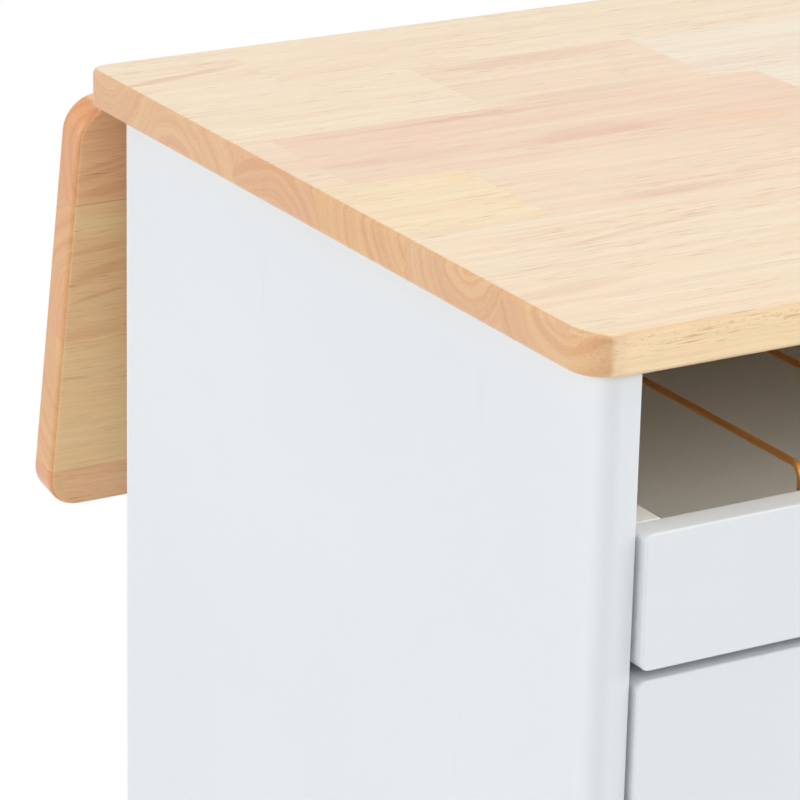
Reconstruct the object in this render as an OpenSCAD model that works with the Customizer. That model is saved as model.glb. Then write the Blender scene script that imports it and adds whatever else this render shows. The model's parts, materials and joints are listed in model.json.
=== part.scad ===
// Kitchen island with a butcher-block worktop and a hinged drop leaf along its back.
// Two bays, each with a low open-topped drawer over an inset door.
// X runs along the worktop, the front faces -Y, +Z is up and the feet stand on Z = 0.
// Millimetres. The drop leaf is drawn hanging, which is its rest position.

/* [Worktop and leaf] */
// Length of the worktop and of the leaf, left to right
top_w = 1100; // [900:10:1300]
// Depth of the worktop without the leaf
top_d = 421; // [390:1:520]
// Thickness of the worktop and of the leaf
top_t = 18; // [15:1:28]
// Radius of the worktop's front corners and of the leaf's corners, seen from above
corner_r = 17; // [10:1:40]
// Radius of the worktop's back corners, next to the leaf
back_corner_r = 9; // [5:1:10]
// Radius along the edges of both boards
edge_r = 2.5; // [1:0.5:4]
// Height of the worktop's upper face above the floor
overall_h = 900; // [820:10:960]
// Depth of the leaf, from hinge edge to free edge
leaf_d = 212; // [208:1:320]
// Angle between the hanging leaf and the vertical
leaf_tilt = 10.45; // [9:0.05:14]

/* [Case] */
// How far the worktop stands out past each side panel
side_overhang = 8; // [2:1:30]
// How far the worktop stands out past the side panels' front edges
front_overhang = 4; // [0:1:20]
// How far the worktop stands out past the side panels' back edges
back_overhang = 24; // [24:1:30]
// Thickness of the side panels, partition and bottom panel
panel_t = 18; // [15:1:22]
// Radius of the side panels' outer front edges
stile_r = 10; // [4:1:12]
// Thickness of the back panel
back_t = 8; // [5:1:12]
// Height of the rail behind the drawers
back_rail_h = 60; // [40:5:100]
// Height of the feet
foot_h = 40; // [25:1:80]
// Diameter of a foot where it meets the bottom panel
foot_d = 50; // [36:1:60]
// Distance from the case's outer faces to a foot's centre
foot_inset = 50; // [40:1:90]
// Thickness of the board under each drawer
deck_t = 12; // [9:1:18]
// Thickness of the loose shelves
shelf_t = 15; // [12:1:20]
// Height of a shelf's underside above the bottom panel
shelf_z = 330; // [200:10:450]
// How far a shelf stands back from the front edge of the bottom panel
shelf_set = 20; // [0:1:60]
// Gap at each side of a shelf and behind it
shelf_gap = 1; // [0.5:0.5:3]
// Diameter of the shelf pins
pin_d = 5; // [4:0.5:7]
// How far a shelf pin reaches under its shelf
pin_len = 12; // [8:1:20]
// Distance from a shelf's front and back edges to its pins
pin_set = 40; // [20:1:80]
// Length of the legs of the angle brackets under the worktop
bracket_leg = 22; // [16:1:30]
// Width of an angle bracket
bracket_w = 18; // [12:1:30]
// Distance from the case's front edge and the back rail to an angle bracket
bracket_set = 45; // [30:1:120]

/* [Drawers] */
// Open height between the worktop and a drawer front, for the hand
hand_gap = 65; // [45:1:90]
// Height of a drawer front
front_h = 57; // [50:1:90]
// Thickness of a drawer front
front_t = 13; // [12:0.5:18]
// How far a drawer front stands out from the side panels' front edges
drawer_proud = 4.5; // [0:0.5:8]
// Gap at each side of a drawer front and of a door
side_gap = 2; // [2:0.5:3]
// Distance from a closed drawer to the back rail
drawer_clear = 18.5; // [5:0.5:60]
// Thickness of a drawer's sides and back
box_t = 12; // [11:1:15]
// Thickness of a drawer's bottom
box_floor_t = 5; // [4:0.5:6]
// Height of a drawer side's lower edge above its front's lower edge
box_raise = 8; // [5:0.5:12]
// Height of a drawer's bottom above its sides' lower edges
box_lift = 6; // [4:0.5:8]
// Depth of the grooves that hold a drawer's bottom
seat = 3; // [2:0.5:4]
// How far a drawer's back ends below its sides' top edges
back_drop = 6; // [0:0.5:12]
// Space between a drawer's side and the case
runner_space = 5; // [3:0.5:8]
// Height of the runner strips
runner_h = 10; // [8:1:14]
// How far a runner strip reaches into the drawer side's groove
runner_bite = 4; // [3:0.5:5]
// Distance from a drawer's top edge down to the middle of its runner strips
runner_drop = 19.5; // [14:0.5:24]
// How far the runner strips start behind the side panels' front edges
runner_set = 20; // [16:1:60]
// Gap between a drawer front's lower edge and the board under the drawer
deck_gap = 5; // [3:0.5:10]

/* [Wire rack] */
// Number of wire loops in each drawer
loops = 6; // [2:1:8]
// Diameter of the looped wire
wire_d = 3; // [2.5:0.5:4]
// Diameter of the two cross wires the loops stand on
cross_d = 4; // [4:0.5:5]
// Bend radius of a loop at its centreline
bend_r = 6; // [5:0.5:12]
// Height of a loop's centreline above the drawer front's top edge
wire_rise = 7.5; // [4:0.5:15]
// Distance from the drawer's front and back to the loops' legs
wire_inset = 4.5; // [4:0.5:20]
// How far the cross wires run past the outer loops
cross_over = 8; // [4:0.5:20]

/* [Doors] */
// Thickness of a door
door_t = 18; // [15:1:20]
// How far a door stands out from the side panels' front edges
door_proud = 2.5; // [0:0.5:6]
// Gap between a drawer front and the door below it
door_gap = 5; // [3:0.5:8]
// Corner radius of the drawer fronts and doors, seen from the front
front_corner_r = 4; // [3:0.5:8]
// Radius along the edges of the drawer fronts and doors
front_edge_r = 1; // [0.5:0.5:3]
// Height of the gap under a door, above the feet
toe_gap = 3; // [2:0.5:8]
// Diameter of a door knob
knob_d = 30; // [22:1:40]
// How far a knob stands out from its door
knob_len = 26; // [20:1:35]
// Distance from a door's free edge to the knob's centre
knob_inset = 40; // [30:1:80]
// Distance from a door's top edge to the knob's centre
knob_drop = 90; // [60:5:200]
// Distance from a door's ends to the middle of its hinges
hinge_inset = 110; // [80:5:200]
// Width of a magnetic catch
catch_w = 40; // [30:1:50]
// Height of a magnetic catch
catch_h = 10; // [8:0.5:14]
// Depth of a magnetic catch, front to back
catch_t = 12; // [10:0.5:20]
// Distance from the partition to the middle of a catch
catch_inset = 60; // [40:1:120]
// Thickness of the strike plates on the doors
strike_t = 0.6; // [0.4:0.1:0.8]

/* [Hinges] */
// Length of a door hinge and of a leaf hinge
hinge_l = 64; // [50:2:90]
// Outer radius of a hinge knuckle
knuckle_r = 3.5; // [3.5:0.1:4]
// Diameter of a hinge pin
hinge_pin_d = 3.2; // [2.6:0.1:3.4]
// Play between a hinge pin and a turning knuckle, on the radius
pin_play = 0.05; // [0.02:0.01:0.1]
// Thickness of a door hinge's plates
door_plate_t = 0.8; // [0.6:0.05:0.85]
// Thickness of a leaf hinge's plates
leaf_plate_t = 1.5; // [1.2:0.1:1.6]
// Reach of a hinge plate from the pin's centre
plate_reach = 20; // [17:0.5:21]
// Distance from the worktop's back edge to the leaf hinges' pins
leaf_pin_gap = 1.5; // [1:0.1:2]
// Distance from the middle of the worktop to the outer leaf hinges
leaf_hinge_x = 440; // [400:5:440]

/* [Leaf stays] */
// Distance from the middle of the worktop to each stay
stay_x = 300; // [200:5:360]
// Height of a stay's pivot below the leaf's pivot
stay_drop = 75; // [65:1:85]
// Distance from the back panel to a stay's pivot
stay_off = 10; // [10:0.5:11]
// Distance from the leaf's pivot to the stay's nose once the leaf is level
stay_reach = 92; // [80:1:96]
// Thickness of a stay bar, along X
stay_t = 6; // [5:0.5:8]
// Width of a stay bar
stay_w = 8; // [7:0.5:9]
// Radius of a stay's nose
nose_r = 4; // [3.5:0.5:4.5]
// Side play between a stay and what it runs between
stay_play = 0.5; // [0.4:0.1:1]
// Thickness of the stay brackets' and tracks' sheet metal
sheet_t = 1.5; // [1.2:0.1:2]

/* [Hidden] */
$fn = 48;

WOOD = [0.94, 0.85, 0.71];
LEAF_WOOD = [0.87, 0.71, 0.55];
WHITE = [0.91, 0.925, 0.93];
INNER = [0.86, 0.87, 0.86];
BRASS = [0.62, 0.42, 0.18];
STEEL = [0.62, 0.63, 0.64];
DARK = [0.2, 0.2, 0.2];

fit = 0.5;                  // clearance round sliding and swinging pieces

// Case
case_w = top_w - 2 * side_overhang;
case_d = top_d - front_overhang - back_overhang;
top_z = overall_h - top_t;  // underside of the worktop
bay_w = (case_w - 3 * panel_t) / 2;
bay_x = panel_t / 2 + bay_w / 2;

// The hanging leaf's furthest point back and the knobs' tips put Y = 0 halfway
axis_drop = knuckle_r + fit;
leaf_far = leaf_pin_gap + leaf_d - edge_r;
leaf_back = leaf_far * sin(leaf_tilt) + (axis_drop + top_t - edge_r) * cos(leaf_tilt) + edge_r;
span_back = top_d - front_overhang + leaf_pin_gap + leaf_back;
span_front = door_proud + knob_len;
case_y = -(span_back - span_front) / 2;   // side panels' front edges
case_back = case_y + case_d;
top_y = case_y - front_overhang;
axis_y = top_y + top_d + leaf_pin_gap;    // leaf's pivot
axis_z = top_z - axis_drop;
inner_back = case_back - back_t;
rail_y = inner_back - panel_t;            // front face of the back rail

// Drawers
front_z = top_z - hand_gap;               // top edge of the drawer fronts
front_w = bay_w - 2 * side_gap;
front_y = case_y - drawer_proud;
box_y = front_y + front_t;
box_w = bay_w - 2 * runner_space;
box_d = rail_y - drawer_clear - box_y;
box_h = front_h - box_raise;
inner_w = box_w - 2 * box_t;
floor_z = front_z - box_h + box_lift;
runner_z = front_z - runner_drop;
runner_y = case_y + runner_set;
runner_end = rail_y - fit;
groove_lead = 8;                          // the grooves' front ends are clear of the closed runners
groove_y = box_y + groove_lead;
wire_z = front_z + wire_rise;
cross_z = floor_z + box_floor_t + cross_d / 2;
wire_y1 = box_y + wire_inset;
wire_y2 = box_y + box_d - box_t - wire_inset;

// Doors
deck_z = front_z - front_h - deck_gap - deck_t;
door_z1 = foot_h + toe_gap;
door_z2 = front_z - front_h - door_gap;
door_y = case_y - door_proud;
door_back = door_y + door_t;
door_rest = 1;                            // from a door's inner face to the boards behind it
inset_y = door_back + door_rest;
door_pin_x = bay_w / 2 - side_gap / 2;    // from the bay's middle
door_pin_y = door_y - knuckle_r - fit;
catch_x = catch_inset - bay_w / 2;        // from the bay's middle
catch_lip = 3;                            // height of the catch's housing round its two magnets
magnet_w = 8;

// Hinges
knuckle_gap = 0.4;                        // between one knuckle and the next
plate_clear = 0.7;                        // from the knuckles to the full part of a plate
hinge_hole = 4;
pin_over = 1;                             // how far a pin and its head stand past the knuckles
pin_head_r = knuckle_r - fit;

// Stays, worked out from the leaf's pivot: stay_in inwards and stay_drop down is the stay's
// pivot, and nose_n is the nose's height over the leaf pivot's level once the leaf is level.
// The stay's length follows from that raised position, its hanging angle from the leaf's tilt.
stay_in = axis_y - case_back - stay_off;
stay_y = case_back + stay_off;
stay_z = axis_z - stay_drop;
nose_n = axis_drop - sheet_t - nose_r - stay_play;
stay_l = sqrt(pow(stay_reach + stay_in, 2) + pow(nose_n + stay_drop, 2));
hang_a = nose_n * cos(leaf_tilt) + stay_in;
hang_b = nose_n * sin(leaf_tilt) + stay_drop;
hang_h = sin(leaf_tilt) * hang_a - cos(leaf_tilt) * hang_b;
stay_hang = -hang_h + sqrt(hang_h * hang_h - hang_a * hang_a - hang_b * hang_b + stay_l * stay_l);
stay_rest = atan2(stay_hang * sin(leaf_tilt) + hang_a, stay_hang * cos(leaf_tilt) - hang_b);
stay_up = atan2(stay_reach + stay_in, -(nose_n + stay_drop));
leaf_lift = 90 - leaf_tilt;
stay_ratio = (stay_up - stay_rest) / leaf_lift;
root_r = stay_off - sheet_t - 2 * fit;
track_d = 10;
track_lead = 12;                          // from the raised nose to the track's closed end
track_over = 2;                           // from the hanging nose to the track's open end
track_from = stay_reach - nose_r - track_lead;
track_to = stay_hang + nose_r + track_over;
stay_pin_d = 4;
stay_inside = stay_t + 2 * stay_play;     // between a bracket's ears and between a track's walls

echo(case_y = case_y, case_back = case_back, axis_y = axis_y, axis_z = axis_z);
echo(stay_y = stay_y, stay_z = stay_z, stay_l = stay_l, stay_hang = stay_hang);
echo(stay_rest = stay_rest, stay_up = stay_up, leaf_lift = leaf_lift, stay_ratio = stay_ratio);
echo(door_pin_x = door_pin_x, door_pin_y = door_pin_y, bay_x = bay_x, bay_w = bay_w);
echo(front_z = front_z, floor_z = floor_z, box_y = box_y, inner_w = inner_w, deck_z = deck_z);
echo(wire_z = wire_z, wire_y1 = wire_y1, wire_y2 = wire_y2, door_z1 = door_z1, door_z2 = door_z2);

// ---- shared shapes ----

// Rectangle centred on X and standing on Y = 0, with round corners
module soft_section(w, t, r) {
    translate([-w / 2 + r, 0]) square([w - 2 * r, t]);
    translate([-w / 2, r]) square([w, t - 2 * r]);
    for (x = [-1, 1])
        for (y = [r, t - r])
            translate([x * (w / 2 - r), y]) circle(r);
}

// Board lying on Z = 0, centred on X and Y: corners of radius r, edges rounded to e. The two
// corners at +Y have the radius back_r, which is no larger than r
module rounded_board(w, d, t, r, e, back_r) {
    translate([-(w / 2 - r), 0, 0])
        rotate([90, 0, 90])
            linear_extrude(w - 2 * r) soft_section(d, t, e);
    translate([0, d / 2 - back_r, 0])
        rotate([90, 0, 0])
            linear_extrude(d - r - back_r) soft_section(w, t, e);
    if (back_r < r)
        translate([-(w / 2 - back_r), d / 2 - r, 0])
            rotate([90, 0, 90])
                linear_extrude(w - 2 * back_r) soft_section(2 * r, t, e);
    for (a = [0, 90, 180, 270]) {
        x = (a == 0 || a == 270) ? 1 : -1;
        y = (a == 0 || a == 90) ? 1 : -1;
        q = (y == 1) ? back_r : r;
        translate([x * (w / 2 - q), y * (d / 2 - q), 0])
            rotate([0, 0, a])
                rotate_extrude(angle = 90) {
                    square([q - e, t]);
                    translate([0, e]) square([q, t - 2 * e]);
                    for (z = [e, t - e])
                        translate([q - e, z]) circle(e);
                }
    }
}

// The same board standing upright with its outer face at Y = 0 and its inner face at Y = t
module standing_board(w, h, t, r, e) {
    translate([0, t, h / 2]) rotate([90, 0, 0]) rounded_board(w, h, t, r, e, r);
}

// Box from one corner to the opposite one
module block(a, b) {
    translate(a) cube(b - a);
}

module left_and_right(x) {
    for (s = [-1, 1]) translate([s * x, 0, 0]) children();
}

// Moves what is drawn for the right-hand bay to the bay on side s, which is -1 or 1
module in_bay(s) {
    translate([s * bay_x, 0, 0]) mirror([s < 0 ? 1 : 0, 0, 0]) children();
}

// ---- case ----

module countertop() {
    color(WOOD)
        translate([0, top_y + top_d / 2, top_z])
            rounded_board(top_w, top_d, top_t, corner_r, edge_r, back_corner_r);
}

// Right side panel; its outer front edge is rounded
module side_panel() {
    x = case_w / 2;
    color(WHITE)
        translate([0, 0, foot_h])
            linear_extrude(top_z - foot_h) {
                translate([x - panel_t, case_y]) square([panel_t - stile_r, case_d]);
                translate([x - panel_t, case_y + stile_r]) square([panel_t, case_d - stile_r]);
                translate([x - stile_r, case_y + stile_r])
                    intersection() {
                        circle(stile_r);
                        translate([0, -stile_r]) square(stile_r);
                    }
            }
}

module left_side_panel() {
    mirror([1, 0, 0]) side_panel();
}

module right_side_panel() {
    side_panel();
}

// Stands on the bottom panel, notched at the top for the back rail
module centre_partition() {
    color(WHITE)
        difference() {
            block([-panel_t / 2, case_y, foot_h + panel_t], [panel_t / 2, inner_back, top_z]);
            block([-panel_t, rail_y, top_z - back_rail_h], [panel_t, inner_back + 1, top_z + 1]);
        }
}

module bottom_panel() {
    color(WHITE)
        block([-case_w / 2 + panel_t, inset_y, foot_h],
              [case_w / 2 - panel_t, inner_back, foot_h + panel_t]);
    // nosing under the partition's front edge
    color(WHITE)
        block([-panel_t / 2, case_y, foot_h], [panel_t / 2, inset_y, foot_h + panel_t]);
}

module back_panel() {
    color(WHITE)
        block([-case_w / 2 + panel_t, inner_back, foot_h], [case_w / 2 - panel_t, case_back, top_z]);
}

module back_rail() {
    color(WHITE)
        block([-case_w / 2 + panel_t, rail_y, top_z - back_rail_h],
              [case_w / 2 - panel_t, inner_back, top_z]);
}

module deck(s) {
    color(INNER)
        in_bay(s)
            block([-bay_w / 2, inset_y, deck_z], [bay_w / 2, inner_back, deck_z + deck_t]);
}

module left_deck() {
    deck(-1);
}

module right_deck() {
    deck(1);
}

// Loose shelf on four pins, clear of the panels round it
module shelf(s) {
    z = foot_h + panel_t + shelf_z;
    half = bay_w / 2 - shelf_gap;
    color(INNER)
        in_bay(s)
            block([-half, inset_y + shelf_set, z], [half, inner_back - shelf_gap, z + shelf_t]);
}

module left_shelf() {
    shelf(-1);
}

module right_shelf() {
    shelf(1);
}

// Round pins with a collar against the panel, four under each shelf
module shelf_pins() {
    z = foot_h + panel_t + shelf_z - pin_d / 2;
    front = inset_y + shelf_set + pin_set;
    back = inner_back - shelf_gap - pin_set;
    collar_t = shelf_gap;
    collar_w = 1.5;
    collar_d = pin_d + 2 * collar_w;
    color(STEEL)
        for (s = [-1, 1])
            in_bay(s)
                for (y = [front, back])
                    for (m = [0, 1])
                        mirror([m, 0, 0])
                            translate([-bay_w / 2, y, z])
                                rotate([0, 90, 0]) {
                                    cylinder(h = pin_len, d = pin_d);
                                    cylinder(h = collar_t, d = collar_d);
                                }
}

// Strips that the drawers' grooves run on
module runners(s) {
    color(INNER)
        in_bay(s)
            for (m = [0, 1])
                mirror([m, 0, 0])
                    block([-bay_w / 2, runner_y, runner_z - runner_h / 2],
                          [-bay_w / 2 + runner_space + runner_bite, runner_end,
                           runner_z + runner_h / 2]);
}

module left_runners() {
    runners(-1);
}

module right_runners() {
    runners(1);
}

// Six turned feet, tapered, with a round plate against the bottom panel
module feet() {
    flange_t = 3;
    flange_w = 6;
    taper = 6;
    bevel = 2;
    flange_r = foot_d / 2 + flange_w;
    top_r = foot_d / 2 - bevel;
    pad_r = foot_d / 2 - taper;
    x = case_w / 2 - foot_inset;
    color(DARK)
        for (px = [-x, 0, x])
            for (py = [case_y + foot_inset, case_back - foot_inset])
                translate([px, py, 0])
                    rotate_extrude()
                        polygon([
                            [0, 0], [pad_r - bevel, 0], [pad_r, bevel],
                            [top_r, foot_h - flange_t], [flange_r, foot_h - flange_t],
                            [flange_r, foot_h], [0, foot_h]
                        ]);
}

// Angle brackets between worktop and panels, screw holes in both legs
module top_bracket() {
    t = 2;
    hole = 4.5;
    hole_at = bracket_leg * 0.6;
    difference() {
        union() {
            block([0, -bracket_w / 2, -t], [bracket_leg, bracket_w / 2, 0]);
            block([0, -bracket_w / 2, -bracket_leg], [t, bracket_w / 2, 0]);
        }
        translate([hole_at, 0, -t - 1]) cylinder(h = t + 2, d = hole);
        translate([-1, 0, -hole_at]) rotate([0, 90, 0]) cylinder(h = t + 2, d = hole);
    }
}

module top_brackets() {
    color(STEEL)
        for (s = [-1, 1])
            in_bay(s)
                for (m = [0, 1])
                    mirror([m, 0, 0])
                        for (y = [case_y + bracket_set, rail_y - bracket_set])
                            translate([-bay_w / 2, y, top_z]) top_bracket();
}

// Magnetic catch under the deck, near the door's free edge, with two magnets let into its face
module door_catch(s) {
    sink = 0.5;
    color(WHITE)
        in_bay(s)
            translate([catch_x, inset_y, deck_z])
                difference() {
                    block([-catch_w / 2, 0, -catch_h], [catch_w / 2, catch_t, 0]);
                    for (x = [-catch_w / 4, catch_w / 4])
                        block([x - magnet_w / 2, -1, catch_lip - catch_h],
                              [x + magnet_w / 2, sink, -catch_lip]);
                }
}

module left_door_catch() {
    door_catch(-1);
}

module right_door_catch() {
    door_catch(1);
}

// ---- hinges ----

// Row of knuckles along Z from 0 to hinge_l. fixed = 1 gives the outer ones, 0 the middle ones
module knuckles(count, fixed, bore_d) {
    pitch = hinge_l / count;
    for (i = [(1 - fixed) : 2 : count - 1])
        translate([0, 0, i * pitch + knuckle_gap / 2])
            difference() {
                cylinder(h = pitch - knuckle_gap, r = knuckle_r);
                translate([0, 0, -1]) cylinder(h = pitch + 2, d = bore_d);
            }
}

// Half of a butt hinge. The pin runs along Z; the plate lies in the plane Y = from to from + t
// and reaches out along +X, with three countersunk holes
module hinge_half(count, fixed, bore_d, from, t) {
    pitch = hinge_l / count;
    clear = knuckle_r + plate_clear;
    difference() {
        union() {
            block([clear, from, 0], [plate_reach, from + t, hinge_l]);
            for (i = [(1 - fixed) : 2 : count - 1])
                block([0, from, i * pitch + knuckle_gap / 2],
                      [clear + 1, from + t, (i + 1) * pitch - knuckle_gap / 2]);
            knuckles(count, fixed, bore_d);
        }
        translate([0, 0, -1]) cylinder(h = hinge_l + 2, d = bore_d);
        for (z = [0.2, 0.5, 0.8])
            translate([(clear + plate_reach) / 2, from - 1, z * hinge_l])
                rotate([-90, 0, 0]) cylinder(h = t + 2, d = hinge_hole);
    }
}

// Pin of a hinge along Z, with a head at its lower end
module hinge_pin() {
    translate([0, 0, -pin_over]) {
        cylinder(h = hinge_l + 2 * pin_over, d = hinge_pin_d);
        cylinder(h = pin_over, r = pin_head_r);
    }
}

// Places children at both hinges of a door; the pin is along +Z from the child's origin
module at_door_hinges(s) {
    in_bay(s)
        for (z = [door_z1 + hinge_inset, door_z2 - hinge_inset])
            translate([door_pin_x, door_pin_y, z - hinge_l / 2])
                children();
}

// Plate on the side panel, in the gap beside the door
module jamb_hinges(s) {
    color(STEEL)
        at_door_hinges(s)
            multmatrix([[0, 1, 0, 0], [1, 0, 0, 0], [0, 0, 1, 0]])
                hinge_half(3, 1, hinge_pin_d, side_gap / 2 - door_plate_t, door_plate_t);
}

module left_door_jamb_hinges() {
    jamb_hinges(-1);
}

module right_door_jamb_hinges() {
    jamb_hinges(1);
}

module door_hinge_pins(s) {
    color(STEEL) at_door_hinges(s) hinge_pin();
}

module left_door_hinge_pins() {
    door_hinge_pins(-1);
}

module right_door_hinge_pins() {
    door_hinge_pins(1);
}

// Plate on the door's edge
module door_hinges(s) {
    color(STEEL)
        at_door_hinges(s)
            multmatrix([[0, 1, 0, 0], [1, 0, 0, 0], [0, 0, 1, 0]])
                hinge_half(3, 0, hinge_pin_d + 2 * pin_play, -side_gap / 2, door_plate_t);
}

module left_door_hinges() {
    door_hinges(-1);
}

module right_door_hinges() {
    door_hinges(1);
}

// Places children at the three leaf hinges, pin along X, in the worktop's frame:
// the child's +X runs forward along the worktop's underside, its +Y up
module at_leaf_hinges() {
    for (x = [-leaf_hinge_x, 0, leaf_hinge_x])
        translate([x - hinge_l / 2, axis_y, axis_z])
            multmatrix([[0, 0, 1, 0], [-1, 0, 0, 0], [0, 1, 0, 0]])
                children();
}

module top_hinges() {
    color(STEEL)
        at_leaf_hinges()
            hinge_half(5, 1, hinge_pin_d, axis_drop - leaf_plate_t, leaf_plate_t);
}

module leaf_hinge_pins() {
    color(STEEL) at_leaf_hinges() hinge_pin();
}

// ---- drawers ----

module drawer_front(s) {
    color(WHITE)
        difference() {
            translate([s * bay_x, front_y, front_z - front_h])
                standing_board(front_w, front_h, front_t, front_corner_r, front_edge_r);
            in_bay(s) drawer_floor_board(fit / 2);
        }
}

// Floor board, grown by extra for the grooves that hold it
module drawer_floor_board(extra) {
    block([-inner_w / 2 - seat - extra, box_y - seat - extra, floor_z],
          [inner_w / 2 + seat + extra, box_y + box_d, floor_z + box_floor_t]);
}

// Both sides, grooved outside for the runners and inside for the floor board
module drawer_sides(s) {
    color(INNER)
        in_bay(s)
            for (m = [0, 1])
                mirror([m, 0, 0])
                    difference() {
                        block([-box_w / 2, box_y, front_z - box_h],
                              [-box_w / 2 + box_t, box_y + box_d, front_z]);
                        block([-box_w / 2 - 1, groove_y, runner_z - runner_h / 2 - fit],
                              [-box_w / 2 + runner_bite + fit, box_y + box_d + 1,
                               runner_z + runner_h / 2 + fit]);
                        drawer_floor_board(0);
                    }
}

// Back, between the sides and over the floor board
module drawer_back(s) {
    color(INNER)
        in_bay(s)
            block([-inner_w / 2, box_y + box_d - box_t, floor_z + box_floor_t],
                  [inner_w / 2, box_y + box_d, front_z - back_drop]);
}

module drawer_bottom(s) {
    color(INNER) in_bay(s) drawer_floor_board(0);
}

// One upturned loop: two legs, two bends and a straight top
module wire_loop() {
    translate([0, wire_y1, cross_z]) cylinder(h = wire_z - bend_r - cross_z, d = wire_d);
    translate([0, wire_y2, cross_z]) cylinder(h = wire_z - bend_r - cross_z, d = wire_d);
    translate([0, wire_y1 + bend_r, wire_z])
        rotate([-90, 0, 0]) cylinder(h = wire_y2 - wire_y1 - 2 * bend_r, d = wire_d);
    translate([0, wire_y1 + bend_r, wire_z - bend_r])
        rotate([90, 0, -90])
            rotate_extrude(angle = 90) translate([bend_r, 0]) circle(d = wire_d);
    translate([0, wire_y2 - bend_r, wire_z - bend_r])
        rotate([90, 0, 90])
            rotate_extrude(angle = 90) translate([bend_r, 0]) circle(d = wire_d);
}

// Loops that share the drawer's width evenly, standing on two cross wires
module drawer_rack(s) {
    pitch = inner_w / (loops + 1);
    color(BRASS)
        in_bay(s) {
            for (i = [1 : loops])
                translate([-inner_w / 2 + i * pitch, 0, 0]) wire_loop();
            for (y = [wire_y1, wire_y2])
                translate([-inner_w / 2 + pitch - cross_over, y, cross_z])
                    rotate([0, 90, 0])
                        cylinder(h = pitch * (loops - 1) + 2 * cross_over, d = cross_d);
        }
}

module left_drawer_front() {
    drawer_front(-1);
}

module left_drawer_sides() {
    drawer_sides(-1);
}

module left_drawer_back() {
    drawer_back(-1);
}

module left_drawer_bottom() {
    drawer_bottom(-1);
}

module left_drawer_rack() {
    drawer_rack(-1);
}

module right_drawer_front() {
    drawer_front(1);
}

module right_drawer_sides() {
    drawer_sides(1);
}

module right_drawer_back() {
    drawer_back(1);
}

module right_drawer_bottom() {
    drawer_bottom(1);
}

module right_drawer_rack() {
    drawer_rack(1);
}

// ---- doors ----

module door(s) {
    color(WHITE)
        translate([s * bay_x, door_y, door_z1])
            standing_board(front_w, door_z2 - door_z1, door_t, front_corner_r, front_edge_r);
}

// Turned knob: collar, waist and domed head, seated on the door's face
module door_knob(s) {
    r = knob_d / 2;
    collar = r * 0.66;
    collar_t = 1.5;
    neck = r * 0.42;
    neck_from = 4;
    head = knob_len * 0.36;
    rim = 1;
    color(BRASS)
        in_bay(s)
            translate([-front_w / 2 + knob_inset, door_y, door_z2 - knob_drop])
                rotate([90, 0, 0])
                    rotate_extrude()
                        polygon(concat(
                            [[0, 0], [collar, 0], [collar, collar_t], [neck, neck_from],
                             [neck, knob_len - head * 2], [r - 1.5 * rim, knob_len - head]],
                            [for (a = [0 : 15 : 90]) [(r - rim) * cos(a) + rim * (1 - sin(a)),
                                                      knob_len - head + head * sin(a)]]
                        ));
}

// Steel plate that the catch holds, on the door's inner face
module door_strike(s) {
    shorter = 4;
    lower = 1;
    half = catch_w / 2 - shorter;
    color(STEEL)
        in_bay(s)
            translate([catch_x, door_back, deck_z])
                block([-half, 0, -catch_h], [half, strike_t, -lower]);
}

module left_door() {
    door(-1);
}

module left_door_knob() {
    door_knob(-1);
}

module left_door_strike() {
    door_strike(-1);
}

module right_door() {
    door(1);
}

module right_door_knob() {
    door_knob(1);
}

module right_door_strike() {
    door_strike(1);
}

// ---- leaf, drawn level with the worktop and then let down ----

// Turns what is drawn for the level leaf down to where it hangs
module hanging() {
    translate([0, axis_y, axis_z])
        rotate([-leaf_lift, 0, 0])
            translate([0, -axis_y, -axis_z])
                children();
}

module drop_leaf() {
    color(LEAF_WOOD)
        hanging()
            translate([0, axis_y + leaf_pin_gap + leaf_d / 2, top_z])
                rounded_board(top_w, leaf_d, top_t, corner_r, edge_r, corner_r);
}

module leaf_hinges() {
    color(STEEL)
        hanging()
            translate([0, 2 * axis_y, 0])
                mirror([0, 1, 0])
                    at_leaf_hinges()
                        hinge_half(5, 0, hinge_pin_d + 2 * pin_play,
                                   axis_drop - leaf_plate_t, leaf_plate_t);
}

// Channel under the leaf that the stay's nose runs in, with a stop at its inner end
module leaf_track(s) {
    outside = stay_inside + 2 * sheet_t;
    hole = 4;
    hole_set = 10;
    color(STEEL)
        hanging()
            translate([s * stay_x, axis_y, top_z])
                difference() {
                    block([-outside / 2, track_from, -track_d], [outside / 2, track_to, 0]);
                    block([-stay_inside / 2, track_from + sheet_t, -track_d - 1],
                          [stay_inside / 2, track_to + 1, -sheet_t]);
                    for (y = [track_from + hole_set, (track_from + track_to) / 2, track_to - hole_set])
                        translate([0, y, -sheet_t - 1]) cylinder(h = sheet_t + 2, d = hole);
                }
}

module left_leaf_track() {
    leaf_track(-1);
}

module right_leaf_track() {
    leaf_track(1);
}

// ---- stays ----

// Side view of a bracket's ear, with Y and Z as its axes: from the back panel to past the pin
module bracket_ear(stop_z) {
    ear_r = 8;
    below_stop = 4;
    foot_z = stop_z - below_stop;
    translate([case_back, foot_z]) square([stay_off, stay_z + ear_r - foot_z]);
    translate([stay_y, foot_z + ear_r]) square([ear_r, stay_z - foot_z - ear_r]);
    for (z = [foot_z + ear_r, stay_z])
        translate([stay_y, z]) circle(ear_r);
}

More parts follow.
